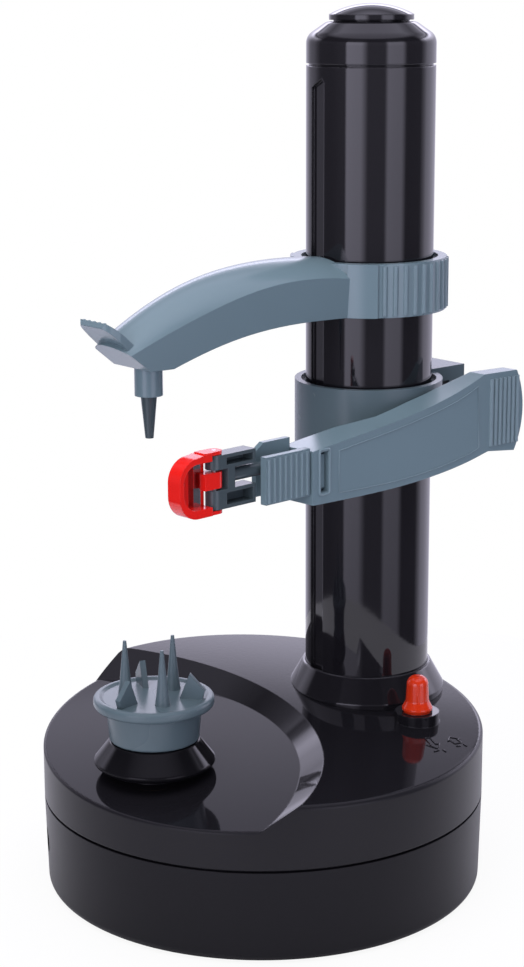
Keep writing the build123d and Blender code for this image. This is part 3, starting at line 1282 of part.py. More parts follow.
def carriage_sleeve():
    sleeve = rod(CARRIAGE_RADIUS, CARRIAGE_FOOT, CARRIAGE_TOP, COLUMN)
    sleeve += rod(LUG_RADIUS, LUG_FOOT, LUG_TOP, PIVOT)
    web_half = LUG_RADIUS - LUG_WEB_INSET
    web_x = (PIVOT_X - web_half, PIVOT_X + web_half)
    sleeve += block(web_x, (PIVOT_Y, LUG_WEB_SINK - CARRIAGE_RADIUS), (LUG_FOOT, LUG_TOP))
    sleeve -= sleeve_bore(CARRIAGE_FOOT, CARRIAGE_TOP)
    inner = NUT_BOX_HALF_WIDTH - NUT_BOX_WALL
    room_x = (COLUMN_X + COLUMN_RADIUS - NUT_ROOM_SINK, COLUMN_X + CARRIAGE_RADIUS)
    sleeve -= block(room_x, (-inner, inner), (NUT_FOOT - GAP, NUT_TOP + GAP))
    sleeve += nut_box() - rod(SLEEVE_BORE, NUT_BOX_FOOT, CARRIAGE_TOP - SLEEVE_MOUTH_DEPTH, COLUMN)
    sleeve -= rod(SLEEVE_MOUTH_RADIUS, CARRIAGE_TOP - SLEEVE_MOUTH_DEPTH, NUT_BOX_TOP, COLUMN)
    pocket_foot = LUG_TOP - ARM_SPRING_HEIGHT - GAP
    sleeve -= rod(ARM_SPRING_RADIUS + RUNNING_FIT, pocket_foot, LUG_TOP, PIVOT)
    return sleeve - rod(PIVOT_PIN_RADIUS, LUG_FOOT, LUG_TOP, PIVOT)


def coil(outer, wire_radius, turns, height):
    """Spring of round wire that stands on z = 0."""
    rise = height - wire_radius * 2
    path = Helix(rise / turns, rise, outer - wire_radius)
    wire = sweep(Plane(origin=path @ 0, z_dir=path % 0) * Circle(wire_radius), path=path)
    return Pos(0, 0, wire_radius) * wire


def arm_spring():
    """Coil round the pivot pin that presses the blade arm towards the fruit."""
    spring = coil(ARM_SPRING_RADIUS, ARM_SPRING_WIRE, ARM_SPRING_TURNS, ARM_SPRING_HEIGHT)
    return Pos(PIVOT_X, PIVOT_Y, LUG_TOP - ARM_SPRING_HEIGHT) * spring


def nut_spring():
    """Coil between the nut box's cover and the half nut, which it keeps in the thread."""
    start = NUT_BACK - NUT_SPRING_POCKET
    length = NUT_BOX_END - NUT_COVER_THICKNESS - start
    spring = coil(NUT_SPRING_RADIUS, NUT_SPRING_WIRE, NUT_SPRING_TURNS, length - FIT)
    return Pos(start, 0, nut_middle()) * Rot(0, 90, 0) * spring


def nut_middle():
    return (NUT_FOOT + NUT_TOP) / 2


def nut_cover():
    return block(cover_x(), *cover_sides(FIT))


def half_nut():
    """Slider whose hollowed nose rides the lead screw, with a window for the button's wedge."""
    inner = NUT_BOX_HALF_WIDTH - NUT_BOX_WALL - GAP
    shoulder = COLUMN_X + COLUMN_RADIUS + NUT_SHOULDER
    nut = block((shoulder, NUT_BACK), (-inner, inner), (NUT_FOOT, NUT_TOP))
    neck = NUT_NECK_WIDTH / 2
    nut += block((COLUMN_X + NUT_NECK_START, shoulder), (-neck, neck), (NUT_FOOT, NUT_TOP))
    nut -= rod(SCREW_SHAFT_RADIUS + RUNNING_FIT, NUT_FOOT, NUT_TOP, COLUMN)
    low = BUTTON_X - BUTTON_WIDTH / 2 - NUT_TRAVEL - NUT_WINDOW_PLAY
    high = BUTTON_X + BUTTON_WIDTH / 2 + BUTTON_SLIDE * 1.5
    edge = -inner - CUT_PAST
    window = [(low, edge), (high, edge), (high, WEDGE_CORNER), (low, WEDGE_CORNER + high - low)]
    nut -= from_above(window, (), BUTTON_FOOT - GAP, BUTTON_TOP + GAP)
    pocket = Cylinder(NUT_SPRING_RADIUS + FIT, NUT_SPRING_POCKET)
    return nut - Pos(NUT_BACK - NUT_SPRING_POCKET / 2, 0, nut_middle()) * Rot(0, 90, 0) * pocket


def release_button():
    """Push button that ends in a 45 degree wedge, which draws the half nut off the screw."""
    half = BUTTON_WIDTH / 2
    face = -NUT_BOX_HALF_WIDTH + BUTTON_SINK
    corner = WEDGE_CORNER - BUTTON_SLIDE
    outline = [
        (BUTTON_X - half, face),
        (BUTTON_X + half, face),
        (BUTTON_X + half, corner),
        (BUTTON_X - half, corner + BUTTON_WIDTH),
    ]
    return from_above(outline, (), BUTTON_FOOT, BUTTON_TOP)


# ---------------------------------------------------------------- blade arm
def in_arm_place(solid):
    """Turns a piece from the arm's own directions to its place at the pivot pin."""
    return Pos(PIVOT_X, PIVOT_Y, 0) * Rot(0, 0, ARM_REST_ANGLE) * solid


def on_sleeve(points):
    """Side view points from u and heights above the sleeve's foot."""
    return [(u, CARRIAGE_FOOT + rise) for u, rise in points]


def arm_side_outline():
    """Side view of the blade arm, with its swept-up thumb grip."""
    upper = on_sleeve(BLADE_ARM_UPPER)
    lower = on_sleeve(BLADE_ARM_LOWER)
    edges = Spline(*upper) + Spline(*lower) + Line(lower[-1], upper[0])
    edges += Line(*on_sleeve(GRIP_TOP_EDGE)) + ThreePointArc(*on_sleeve(GRIP_BOW))
    edges += Line(*on_sleeve(GRIP_UNDER_EDGE))
    return make_face(edges)


def arm_plan():
    """Plan of the blade arm: a straight front, a flared grip and a back clear of the sleeve."""
    front = BLADE_ARM_FRONT
    grip_front = front - BLADE_ARM_FLARE
    points = [(BLADE_ARM_END, front), (GRIP_START, front), (GRIP_END + BLADE_ARM_ROUND, grip_front)]
    points += [(GRIP_END + BLADE_ARM_ROUND, BLADE_ARM_PLAN[0][1]), *BLADE_ARM_PLAN[1:]]
    points.append((BLADE_ARM_END, BLADE_ARM_BACK))
    last = len(points) - 1
    low, high = BLADE_ARM_CUT[1]
    return from_above(points, [(last, BLADE_ARM_ROUND)], low, high)


def blade_arm():
    wide = BLADE_ARM_CUT[0]
    body = extrude(Plane.XZ.offset(wide[0]) * arm_side_outline(), wide[1] - wide[0]) & arm_plan()
    inner_front = BLADE_ARM_FRONT + BLADE_ARM_WALL
    behind = BLADE_ARM_BACK + CUT_PAST
    lug_z = (LUG_FOOT - LUG_ROOM, LUG_TOP + LUG_ROOM)
    strip_start = BLADE_ARM_END + SOCKET_DEPTH + BLADE_ARM_WALL
    body -= block((LUG_ROOM_START, GRIP_START - CUT_PAST), (inner_front, behind), lug_z)
    body -= block((strip_start, LUG_ROOM_START), (inner_front, behind), (STRIP_FOOT, STRIP_TOP))
    body -= rod(LUG_RADIUS + LUG_WEB_INSET, *lug_z)
    socket_z = (CARTRIDGE_LOW - CARTRIDGE_CLEARANCE, CARTRIDGE_HIGH - SOCKET_ROOF)
    socket_u = (BLADE_ARM_END - CUT_PAST, BLADE_ARM_END + SOCKET_DEPTH)
    body -= block(socket_u, (inner_front, BLADE_ARM_BACK - BLADE_ARM_WALL), socket_z)
    window_start = BLADE_ARM_END + WINDOW_FROM_END
    window_v = (BLADE_ARM_FRONT - CUT_PAST, inner_front + CUT_PAST)
    body -= block((window_start, window_start + WINDOW_WIDTH), window_v, (WINDOW_FOOT, WINDOW_TOP))
    body = in_arm_place(body + grip_ribs())
    return body - rod(PIVOT_PIN_RADIUS + RUNNING_FIT, PIVOT_PIN_FOOT, LUG_TOP + PIVOT_PIN_PROUD, PIVOT)


def grip_ribs():
    """Upright ribs on the thumb grip's flared front."""
    step = (GRIP_RIB_LAST - GRIP_RIB_FIRST) / (GRIP_RIB_COUNT - 1)
    flare = BLADE_ARM_FLARE / (GRIP_END + BLADE_ARM_ROUND - GRIP_START)
    ribs = []
    for index in range(GRIP_RIB_COUNT):
        u = GRIP_RIB_FIRST + step * index
        v = BLADE_ARM_FRONT - (u - GRIP_START) * flare
        ribs.append(rod(GRIP_RIB_RADIUS, GRIP_RIB_FOOT, GRIP_RIB_TOP, (u, v)))
    return Compound(children=ribs)


def arm_pivot_pin():
    return rod(PIVOT_PIN_RADIUS, PIVOT_PIN_FOOT, LUG_TOP + PIVOT_PIN_PROUD, PIVOT)


def head_bar(radius, start, end):
    """Round bar along the blade head's roll axis."""
    middle = (start + end) / 2
    return Pos(middle, HEAD_V, NECK_HEIGHT) * Rot(0, 90, 0) * Cylinder(radius, end - start)


def cartridge():
    """Holder that plugs into the arm's end and is freed by squeezing its two ribbed tabs."""
    wall = BLADE_ARM_WALL + CARTRIDGE_CLEARANCE
    front = BLADE_ARM_FRONT + wall
    back = BLADE_ARM_BACK - wall
    tongue_end = BLADE_ARM_END + SOCKET_DEPTH - GAP
    low = CARTRIDGE_LOW
    high = CARTRIDGE_HIGH - SOCKET_ROOF - CARTRIDGE_CLEARANCE
    body = block((BLADE_ARM_END - CARTRIDGE_BODY_START, tongue_end), (front, back), (low, high))
    room_v = (front + CARTRIDGE_WALL, back - CARTRIDGE_WALL)
    body -= block((BLADE_ARM_END + CARTRIDGE_WEB, tongue_end), room_v, (low, high))
    body += squeeze_tabs(front, back, low)
    hook_u = BLADE_ARM_END + WINDOW_FROM_END
    hook_span = (hook_u + GAP, hook_u + WINDOW_WIDTH - GAP)
    hook_v = (BLADE_ARM_FRONT + HOOK_PROUD, front + HOOK_ROOT)
    body += block(hook_span, hook_v, (WINDOW_FOOT + HOOK_INSET, WINDOW_TOP - HOOK_INSET))
    body -= head_bar(NECK_RADIUS + RUNNING_FIT, NECK_BORE_START, NECK_END)
    body -= head_bar(NECK_COLLAR_RADIUS + RUNNING_FIT, NECK_END - NECK_COLLAR - GAP, NECK_END + GAP)
    return in_arm_place(body)


def squeeze_tabs(front, back, low):
    """Ribbed tab in front and taller plain tab behind, both from the cartridge's body."""
    end = BLADE_ARM_END - CARTRIDGE_CLEARANCE * 2
    face_v = front - CARTRIDGE_TAB_THICKNESS
    face_z = (low - CARTRIDGE_TAB_DROP, CARTRIDGE_HIGH)
    tabs = block((CARTRIDGE_FACE_END, end), (face_v, front + CARTRIDGE_TAB_ROOT), face_z)
    heel, corner, rise, thickness = CARTRIDGE_REAR
    rear = [(CARTRIDGE_FACE_END + heel, low), (end, low), (end, CARTRIDGE_HIGH + rise)]
    rear.append((CARTRIDGE_FACE_END + corner, CARTRIDGE_HIGH + rise))
    rear.append((CARTRIDGE_FACE_END + heel, CARTRIDGE_HIGH))
    tabs += from_side(rear, (), back - CARTRIDGE_TAB_ROOT, back + thickness)
    step = (end - CARTRIDGE_FACE_END - CARTRIDGE_RIB_MARGIN * 2) / (CARTRIDGE_RIB_COUNT - 1)
    for index in range(CARTRIDGE_RIB_COUNT):
        u = CARTRIDGE_FACE_END + CARTRIDGE_RIB_MARGIN + step * index
        tabs += rod(CARTRIDGE_RIB_RADIUS, low, CARTRIDGE_HIGH - CARTRIDGE_RIB_INSET, (u, face_v))
    return tabs


def head_outline(end, half, inner):
    """Plan of a hinge tab: straight from inner, with a round end about the shoe's pins."""
    tab = make_face(Polyline((inner, -half), (end, -half), (end, half), (inner, half), close=True))
    return Pos(0, HEAD_V) * (tab + Pos(end, 0) * Circle(half))


def blade_yoke():
    """Frame of two channel bars on a round neck, which rolls in the cartridge."""
    half = YOKE_DEPTH / 2
    web_u = (SHOE_AXIS_U + YOKE_WEB_START, SHOE_AXIS_U + YOKE_WEB_END)
    yoke = block(web_u, (HEAD_V - half, HEAD_V + half), (YOKE_LOW, YOKE_HIGH))
    bars = ((YOKE_LOW, YOKE_LOW + YOKE_LOW_BAR), (YOKE_HIGH - YOKE_HIGH_BAR, YOKE_HIGH))
    pocket_u = (SHOE_AXIS_U + half, YOKE_ROOT - YOKE_CHANNEL)
    pocket_v = (HEAD_V - half, HEAD_V + half - YOKE_CHANNEL)
    for low, high in bars:
        yoke += extrude(Pos(0, 0, low) * head_outline(SHOE_AXIS_U, half, YOKE_ROOT), high - low)
        yoke -= block(pocket_u, pocket_v, (low + YOKE_CHANNEL, high - YOKE_CHANNEL))
    yoke += head_bar(NECK_RADIUS, SHOE_AXIS_U + YOKE_WEB_START + NECK_ROOT, NECK_END)
    yoke += head_bar(NECK_COLLAR_RADIUS, NECK_END - NECK_COLLAR, NECK_END)
    return in_arm_place(yoke - rod(SHOE_PIN_RADIUS, YOKE_LOW, YOKE_HIGH, (SHOE_AXIS_U, HEAD_V)))


def middle_tab_z():
    """Heights of the shoe's middle hinge tab, between the yoke's two bars."""
    return (YOKE_LOW + YOKE_LOW_BAR + GAP * 2, YOKE_HIGH - YOKE_HIGH_BAR - GAP * 2)


def shoe_body(heel, low, high):
    """D-shaped tray that is open towards the blade's back."""
    half = YOKE_DEPTH / 2
    outline = [(heel, low), (heel, high), (SHOE_END, high - SHOE_TIP_DROP), (SHOE_END, low)]
    shoe = from_side(outline, [(2, SHOE_ROUND), (3, SHOE_ROUND)], HEAD_V - half, HEAD_V + half)
    inner_low = low + SHOE_TAB * 2
    inner_high = high - SHOE_TAB * 2
    inner_end = SHOE_END + SHOE_WALL
    pocket = [(heel, inner_low), (heel, inner_high), (inner_end, inner_high), (inner_end, inner_low)]
    inner_round = SHOE_ROUND - SHOE_WALL
    rounds = [(2, inner_round), (3, inner_round)]
    return shoe - from_side(pocket, rounds, HEAD_V - half, HEAD_V + half - SHOE_WALL)


def blade_shoe():
    """Guard round the blade: a D-shaped tray with three hinge tabs and an eye."""
    half = YOKE_DEPTH / 2
    low = YOKE_LOW - SHOE_TAB
    high = YOKE_HIGH + SHOE_TAB
    heel = SHOE_AXIS_U - half - GAP
    shoe = shoe_body(heel, low, high)
    thin = SHOE_TAB - SHOE_TAB_PLAY
    for tab_low, tab_high in ((low, low + thin), middle_tab_z(), (high - thin, high)):
        tab = head_outline(SHOE_AXIS_U, half - SHOE_TAB_INSET, heel - SHOE_TAB_ROOT)
        shoe += extrude(Pos(0, 0, tab_low) * tab, tab_high - tab_low)
    eye = Cylinder(SHOE_EYE_RADIUS, YOKE_DEPTH * 2)
    shoe -= Pos(SHOE_END + SHOE_WALL + SHOE_EYE_RADIUS, HEAD_V, NECK_HEIGHT) * Rot(90, 0, 0) * eye
    blade_u = heel - BLADE_SET_BACK
    slot_z = (low + SHOE_TAB * 2, high - SHOE_TAB * 2)
    shoe -= block((blade_u - BLADE_WIDTH, blade_u), (HEAD_V, HEAD_V + half), slot_z)
    return in_arm_place(shoe - rod(SHOE_PIN_RADIUS + RUNNING_FIT, low, high, (SHOE_AXIS_U, HEAD_V)))


def peeling_blade():
    """Steel strip across the shoe's slot, with its ground edge just proud of the guard."""
    half = YOKE_DEPTH / 2
    u = SHOE_AXIS_U - half - GAP - BLADE_SET_BACK
    back = HEAD_V + half - SHOE_WALL
    tip_u = u - BLADE_WIDTH + BLADE_SET_BACK
    tip_v = back + SHOE_WALL + BLADE_PROUD
    strip = [
        (u, back),
        (u, back + BLADE_THICKNESS),
        (tip_u, tip_v),
        (tip_u - BLADE_EDGE, tip_v - BLADE_EDGE),
        (tip_u + BLADE_BEVEL, back),
    ]
    return in_arm_place(from_above(strip, (), YOKE_LOW + SHOE_TAB, YOKE_HIGH - SHOE_TAB))


def shoe_pins():
    low_end, high_end = middle_tab_z()
    low_span = (YOKE_LOW - SHOE_TAB, low_end + SHOE_PIN_GRIP)
    high_span = (high_end - SHOE_PIN_GRIP, YOKE_HIGH + SHOE_TAB)
    pins = [rod(SHOE_PIN_RADIUS, *span, (SHOE_AXIS_U, HEAD_V)) for span in (low_span, high_span)]
    return [in_arm_place(pin) for pin in pins]


# ---------------------------------------------------------------- nodes
NODES = {
    "lower_housing": lower_housing,
    "upper_housing": upper_housing,
    "rubber_feet": rubber_feet,
    "housing_screws": housing_screws,
    "battery_door": battery_door,
    "aa_cells": aa_cells,
    "battery_contacts": battery_contacts,
    "dc_inlet": dc_inlet,
    "gear_plate": gear_plate,
    "plate_screws": plate_screws,
    "drive_motor": drive_motor,
    "motor_shaft": motor_shaft,
    "motor_pinion": motor_pinion,
    "step_gear": step_gear,
    "step_axle": lambda: axle(STEP, FINE_TOP),
    "idler_gear": idler_gear,
    "idler_axle": lambda: axle(IDLER, GEAR_TOP),
    "spindle_gear": spindle_gear,
    "spindle_shaft": spindle_shaft,
    "spindle_bush": spindle_bush,
    "drive_hub": drive_hub,
    "prong_cup": prong_cup,
    "switch_knob": switch_knob,
    "switch_rod": switch_rod,
    "switch_body": switch_body,
    "column_tube": column_tube,
    "column_foot": column_foot,
    "column_cap": column_cap,
    "cap_dome": cap_dome,
    "top_bush": top_bush,
    "lead_screw": lead_screw,
    "screw_gear": screw_gear,
    "upper_arm": upper_arm,
    "pin_socket": pin_socket,
    "centre_pin": centre_pin,
    "carriage_sleeve": carriage_sleeve,
    "nut_cover": nut_cover,
    "nut_spring": nut_spring,
    "arm_spring": arm_spring,
    "half_nut": half_nut,
    "release_button": release_button,
    "blade_arm": blade_arm,
    "arm_pivot_pin": arm_pivot_pin,
    "blade_cartridge": cartridge,
    "blade_yoke": blade_yoke,
    "blade_shoe": blade_shoe,
    "peeling_blade": peeling_blade,
    "shoe_pins": shoe_pins,
}

os.makedirs("parts", exist_ok=True)
for name, make in NODES.items():
    made = make()
    shape = Compound(children=list(made)) if isinstance(made, list) else made
    shape.label = name
    export_step(shape, os.path.join("parts", name + ".step"))
    print(name, len(shape.solids()))
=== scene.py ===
import math

import bmesh
import bpy
from mathutils import Matrix, Vector


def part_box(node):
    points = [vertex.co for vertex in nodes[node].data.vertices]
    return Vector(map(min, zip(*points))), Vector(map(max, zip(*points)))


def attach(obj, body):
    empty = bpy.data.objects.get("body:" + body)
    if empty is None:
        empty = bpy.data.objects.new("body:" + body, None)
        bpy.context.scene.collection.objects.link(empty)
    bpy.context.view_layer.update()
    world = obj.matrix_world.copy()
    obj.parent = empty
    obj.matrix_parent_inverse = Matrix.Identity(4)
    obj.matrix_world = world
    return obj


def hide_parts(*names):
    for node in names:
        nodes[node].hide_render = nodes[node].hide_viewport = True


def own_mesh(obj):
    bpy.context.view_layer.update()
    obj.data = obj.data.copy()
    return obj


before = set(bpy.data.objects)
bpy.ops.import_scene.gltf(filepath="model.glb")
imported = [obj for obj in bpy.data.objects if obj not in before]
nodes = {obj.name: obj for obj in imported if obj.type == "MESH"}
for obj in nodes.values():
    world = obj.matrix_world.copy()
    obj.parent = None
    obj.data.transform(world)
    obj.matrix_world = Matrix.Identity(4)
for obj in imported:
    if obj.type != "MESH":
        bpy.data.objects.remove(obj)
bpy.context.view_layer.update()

# ------------------------------------------------------------------ camera
# A short telephoto lens a little above the top of the column, looking down on the peeler from
# its front left, the way it is set out on a worktop.
eye = Vector((-0.3971, -0.4683, 0.2723))
heading = Vector((0.647, 0.763, 0.0)).normalized()
dip = math.radians(13.58)
lean = math.radians(-0.226)
sight = heading * math.cos(dip) - Vector((0, 0, math.sin(dip)))
camera = bpy.data.objects.new("camera", bpy.data.cameras.new("camera"))
camera.data.sensor_width = 36.0
camera.data.lens = 78.37
camera.data.clip_start = 0.05
camera.matrix_world = (
    Matrix.Translation(eye)
    @ sight.to_track_quat("-Z", "Y").to_matrix().to_4x4()
    @ Matrix.Rotation(lean, 4, "Z")
)
bpy.context.scene.collection.objects.link(camera)
bpy.context.scene.camera = camera
bpy.context.scene.view_settings.view_transform = "Standard"


# ------------------------------------------------------------------ worktop and studio
# A round white table in a pale room. Two tall soft boxes in front give the gloss black its
# streaks, and a bright sweep behind is what the deck and the tray mirror.
def wire(tree, source, target):
    tree.links.new(source, target)


def node_of(tree, kind, **settings):
    """New node with its inputs, or else its own settings, filled in by name."""
    made = tree.nodes.new(kind)
    for key, value in settings.items():
        if key in made.inputs:
            made.inputs[key].default_value = value
        else:
            setattr(made, key, value)
    return made


def ramp_of(tree, factor, stops):
    """Ramp through the (place, colour) stops, where a single number is a grey."""
    ramp = node_of(tree, "ShaderNodeValToRGB")
    elements = ramp.color_ramp.elements
    while len(elements) < len(stops):
        elements.new(0.5)
    for element, (place, colour) in zip(elements, stops):
        if isinstance(colour, (int, float)):
            colour = (colour, colour, colour)
        element.position = place
        element.color = (*colour, 1.0)
    wire(tree, factor, ramp.inputs[0])
    return ramp.outputs[0]


def maths(tree, operation, first, second=0.0):
    """Result of the operation on two numbers or sockets."""
    made = node_of(tree, "ShaderNodeMath", operation=operation)
    for socket, value in zip(made.inputs, (first, second)):
        if isinstance(value, (int, float)):
            socket.default_value = value
        else:
            wire(tree, value, socket)
    return made.outputs[0]


def show_mix(tree, output, share, first, second):
    """Mix the two shaders by the share and wire them to an output node of that kind."""
    choose = node_of(tree, "ShaderNodeMixShader")
    for source, socket in zip((share, first.outputs[0], second.outputs[0]), choose.inputs):
        wire(tree, source, socket)
    wire(tree, choose.outputs[0], node_of(tree, output).inputs[0])


room = bpy.data.worlds.new("studio")
room.use_nodes = True
bpy.context.scene.world = room
tree = room.node_tree
tree.nodes.clear()

# Where a ray leaves the room: its bearing from the camera's side of the peeler and its
# height, both as shares from 0 to 1.
place = node_of(tree, "ShaderNodeTexCoord")
turn = node_of(tree, "ShaderNodeMapping", vector_type="POINT")
turn.inputs["Rotation"].default_value = (0, 0, -math.atan2(-heading.y, -heading.x))
wire(tree, place.outputs["Generated"], turn.inputs["Vector"])
split = node_of(tree, "ShaderNodeSeparateXYZ")
wire(tree, turn.outputs[0], split.inputs[0])
bearing = maths(tree, "ARCTAN2", split.outputs["Y"], split.outputs["X"])
bearing = maths(tree, "DIVIDE", bearing, 2 * math.pi)
bearing = maths(tree, "ADD", bearing, 0.5)
height = maths(tree, "MULTIPLY", split.outputs["Z"], 0.5)
height = maths(tree, "ADD", height, 0.5)


def by_bearing(*stops):
    """Brightness by the degrees round the peeler, where 0 is the camera's side."""
    return ramp_of(tree, bearing, [(angle / 360 + 0.5, light) for angle, light in stops])


def by_height(*stops):
    """Brightness by the degrees above the worktop."""
    shares = [math.sin(math.radians(angle)) / 2 + 0.5 for angle, light in stops]
    return ramp_of(tree, height, list(zip(shares, [light for angle, light in stops])))


dim = 0.14
soft_boxes = by_bearing(
    (-180, 0.0), (-140, 0.0), (-100, dim), (-75, dim), (-55, 0.26), (-49, 0.26), (-46, 3.1),
    (-20, 2.8), (-8, 0.3), (22, 0.3), (28, 2.4), (54, 2.1), (63, dim), (96, dim), (110, 0.0),
    (180, 0.0),
)
box_heights = by_height(
    (-90, 0.25), (-24, 0.3), (-17, 0.45), (-10, 0.75), (-3, 1.02), (2, 1.2), (16, 1.2),
    (21, 0.1), (45, 0.0),
)
behind = by_bearing(
    (-180, 1.0), (-152, 1.0), (-138, 0.65), (-122, 0.65), (-104, 0.0), (96, 0.0), (114, 1.5),
    (140, 1.3), (155, 1.0), (180, 1.0),
)
sweep_heights = by_height(
    (-90, 0.8), (-2, 0.95), (8, 1.1), (16, 2.4), (20.5, 4.6), (23.4, 3.6), (25.4, 0.9),
    (28, 0.45), (29.5, 1.7), (33, 0.9), (50, 0.0),
)
overhead = by_height((-90, 0.0), (43, 0.0), (54, 1.15), (90, 1.25))
front = maths(tree, "MULTIPLY", soft_boxes, box_heights)
back = maths(tree, "MULTIPLY", behind, sweep_heights)
lit = maths(tree, "ADD", front, back)
lit = maths(tree, "ADD", lit, overhead)
darkest = 0.04
lit = maths(tree, "ADD", lit, darkest)
glow = node_of(tree, "ShaderNodeBackground", Color=(0.84, 0.81, 1.0, 1.0))
wire(tree, lit, glow.inputs["Strength"])
white = node_of(tree, "ShaderNodeBackground", Color=(1, 1, 1, 1), Strength=1.0)
ray = node_of(tree, "ShaderNodeLightPath").outputs
clear = maths(tree, "MAXIMUM", ray["Is Camera Ray"], ray["Is Transmission Ray"])
show_mix(tree, "ShaderNodeOutputWorld", clear, glow, white)

table_radius = 0.26
table_sink = 0.0001
paper_glow = 0.92
sheet = bmesh.new()
bmesh.ops.create_circle(sheet, cap_ends=True, segments=96, radius=table_radius)
table = bpy.data.objects.new("table", bpy.data.meshes.new("table"))
table.location.z = -table_sink
sheet.to_mesh(table.data)
sheet.free()
bpy.context.scene.collection.objects.link(table)
paper = bpy.data.materials.new("white_table")
paper.use_nodes = True
tree = paper.node_tree
tree.nodes.clear()
matt = node_of(tree, "ShaderNodeBsdfDiffuse", Color=(0.8, 0.8, 0.8, 1))
bright = node_of(tree, "ShaderNodeEmission", Color=(1, 1, 1, 1), Strength=1.0)
ray = node_of(tree, "ShaderNodeLightPath").outputs
share = maths(tree, "MULTIPLY", ray["Is Camera Ray"], paper_glow)
show_mix(tree, "ShaderNodeOutputMaterial", share, matt, bright)
table.data.materials.append(paper)


def soft_box(name, place, aim, size, power):
    """Area lamp in watts that lights the peeler but isn't mirrored in it."""
    lamp = bpy.data.lights.new(name, "AREA")
    lamp.shape = "RECTANGLE"
    lamp.size, lamp.size_y = size
    lamp.energy = power
    held = bpy.data.objects.new(name, lamp)
    held.location = place
    held.rotation_euler = (Vector(aim) - Vector(place)).to_track_quat("-Z", "Y").to_euler()
    held.visible_glossy = False
    bpy.context.scene.collection.objects.link(held)


soft_box("top_lamp", (-0.25, -0.15, 1.2), aim=(0, 0, 0.1), size=(0.9, 0.9), power=8.0)
soft_box("front_lamp", (-1.1, -0.55, 0.7), aim=(0, 0, 0.12), size=(0.7, 1.0), power=5.0)


# ------------------------------------------------------------------ lower housing
# The drum's tub, with the socket for a plug-in supply let into its back wall. It is
# injection-moulded of black ABS in an etched mould, so it is satin all over.
def moulded(
    name, colour, roughness,
    cloud=0.05, spread=0.02, gloss=0.5, grain=900.0, skin=0.01, edge=0.0003,
):
    """Moulded plastic or rubber, with corners that look rounded by the radius edge.

    In soft patches its colour varies by the share cloud and its roughness by spread. Its
    skin has a fine bump, skin millimetres deep, with grain as the scale of its noise.
    """
    made = bpy.data.materials.new(name)
    made.use_nodes = True
    tree = made.node_tree
    shader = tree.nodes["Principled BSDF"]
    shader.inputs["IOR"].default_value = 1.5
    shader.inputs["Specular IOR Level"].default_value = gloss
    place = node_of(tree, "ShaderNodeTexCoord")
    broad = node_of(tree, "ShaderNodeTexNoise", Scale=24.0, Detail=2.0, Roughness=0.5)
    fine = node_of(tree, "ShaderNodeTexNoise", Scale=grain, Detail=2.0, Roughness=0.6)
    for noise in (broad, fine):
        wire(tree, place.outputs["Object"], noise.inputs["Vector"])
    low_patch, high_patch, smoothest = 0.3, 0.7, 0.02
    low = tuple(c * (1 - cloud) for c in colour)
    high = tuple(min(1.0, c * (1 + cloud)) for c in colour)
    patches = ramp_of(tree, broad.outputs["Fac"], [(low_patch, low), (high_patch, high)])
    wire(tree, patches, shader.inputs["Base Color"])
    wear = node_of(tree, "ShaderNodeMapRange")
    wear.inputs["From Min"].default_value = low_patch
    wear.inputs["From Max"].default_value = high_patch
    wear.inputs["To Min"].default_value = max(smoothest, roughness - spread)
    wear.inputs["To Max"].default_value = roughness + spread
    wire(tree, broad.outputs["Fac"], wear.inputs["Value"])
    wire(tree, wear.outputs[0], shader.inputs["Roughness"])
    bump = node_of(tree, "ShaderNodeBump", Strength=1.0, Distance=skin * 0.001)
    wire(tree, fine.outputs["Fac"], bump.inputs["Height"])
    soft = node_of(tree, "ShaderNodeBevel", samples=4, Radius=edge)
    wire(tree, soft.outputs[0], bump.inputs["Normal"])
    wire(tree, bump.outputs[0], shader.inputs["Normal"])
    return made


def dress(material, *names):
    """Give the solids of these names the material."""
    for name in names:
        nodes[name].data.materials.clear()
        nodes[name].data.materials.append(material)


etch_grain = 2600.0
etched_black = (0.007, 0.0067, 0.0085)
satin = moulded("etched_black", etched_black, 0.34, gloss=0.15, grain=etch_grain, skin=0.02)
dress(satin, "lower_housing", "dc_inlet")

# ------------------------------------------------------------------ rubber feet
# Four pads of soft black rubber, pressed into shallow seats under the tub, which keep the
# peeler from walking on a wet worktop. They are matt, and a little uneven from the mould.
black_rubber = (0.025, 0.025, 0.025)
rubber = moulded("foot_rubber", black_rubber, 0.75, cloud=0.2, spread=0.1, gloss=0.3, skin=0.1)
dress(rubber, "rubber_feet")

# ------------------------------------------------------------------ cells
# Four AA cells in printed shrink wrap lie side by side in the tub. The wrap is green with a
# copper-coloured band, and leaves the steel of both ends bare.
wrap_green = (0.05, 0.12, 0.09)
wrap_copper = (0.5, 0.32, 0.1)
cell_steel = (0.5, 0.5, 0.5)
cells_middle = -0.008
half_cell = 0.025
bare_from = 0.0243
wrap = moulded("cell_wrap", wrap_green, 0.2)
tree = wrap.node_tree
shader = tree.nodes["Principled BSDF"]
place = node_of(tree, "ShaderNodeTexCoord")
split = node_of(tree, "ShaderNodeSeparateXYZ")
wire(tree, place.outputs["Object"], split.inputs[0])
along = maths(tree, "ADD", split.outputs["Y"], -cells_middle)
from_middle = maths(tree, "ABSOLUTE", along)
steel_end = maths(tree, "GREATER_THAN", from_middle, bare_from)
wire(tree, steel_end, shader.inputs["Metallic"])
bands = [
    (0.0, wrap_green), (0.62, wrap_green), (0.64, wrap_copper), (0.96, wrap_copper),
    (0.975, cell_steel),
]
share = maths(tree, "MULTIPLY", from_middle, 1 / half_cell)
wire(tree, ramp_of(tree, share, bands), shader.inputs["Base Color"])
dress(wrap, "aa_cells")


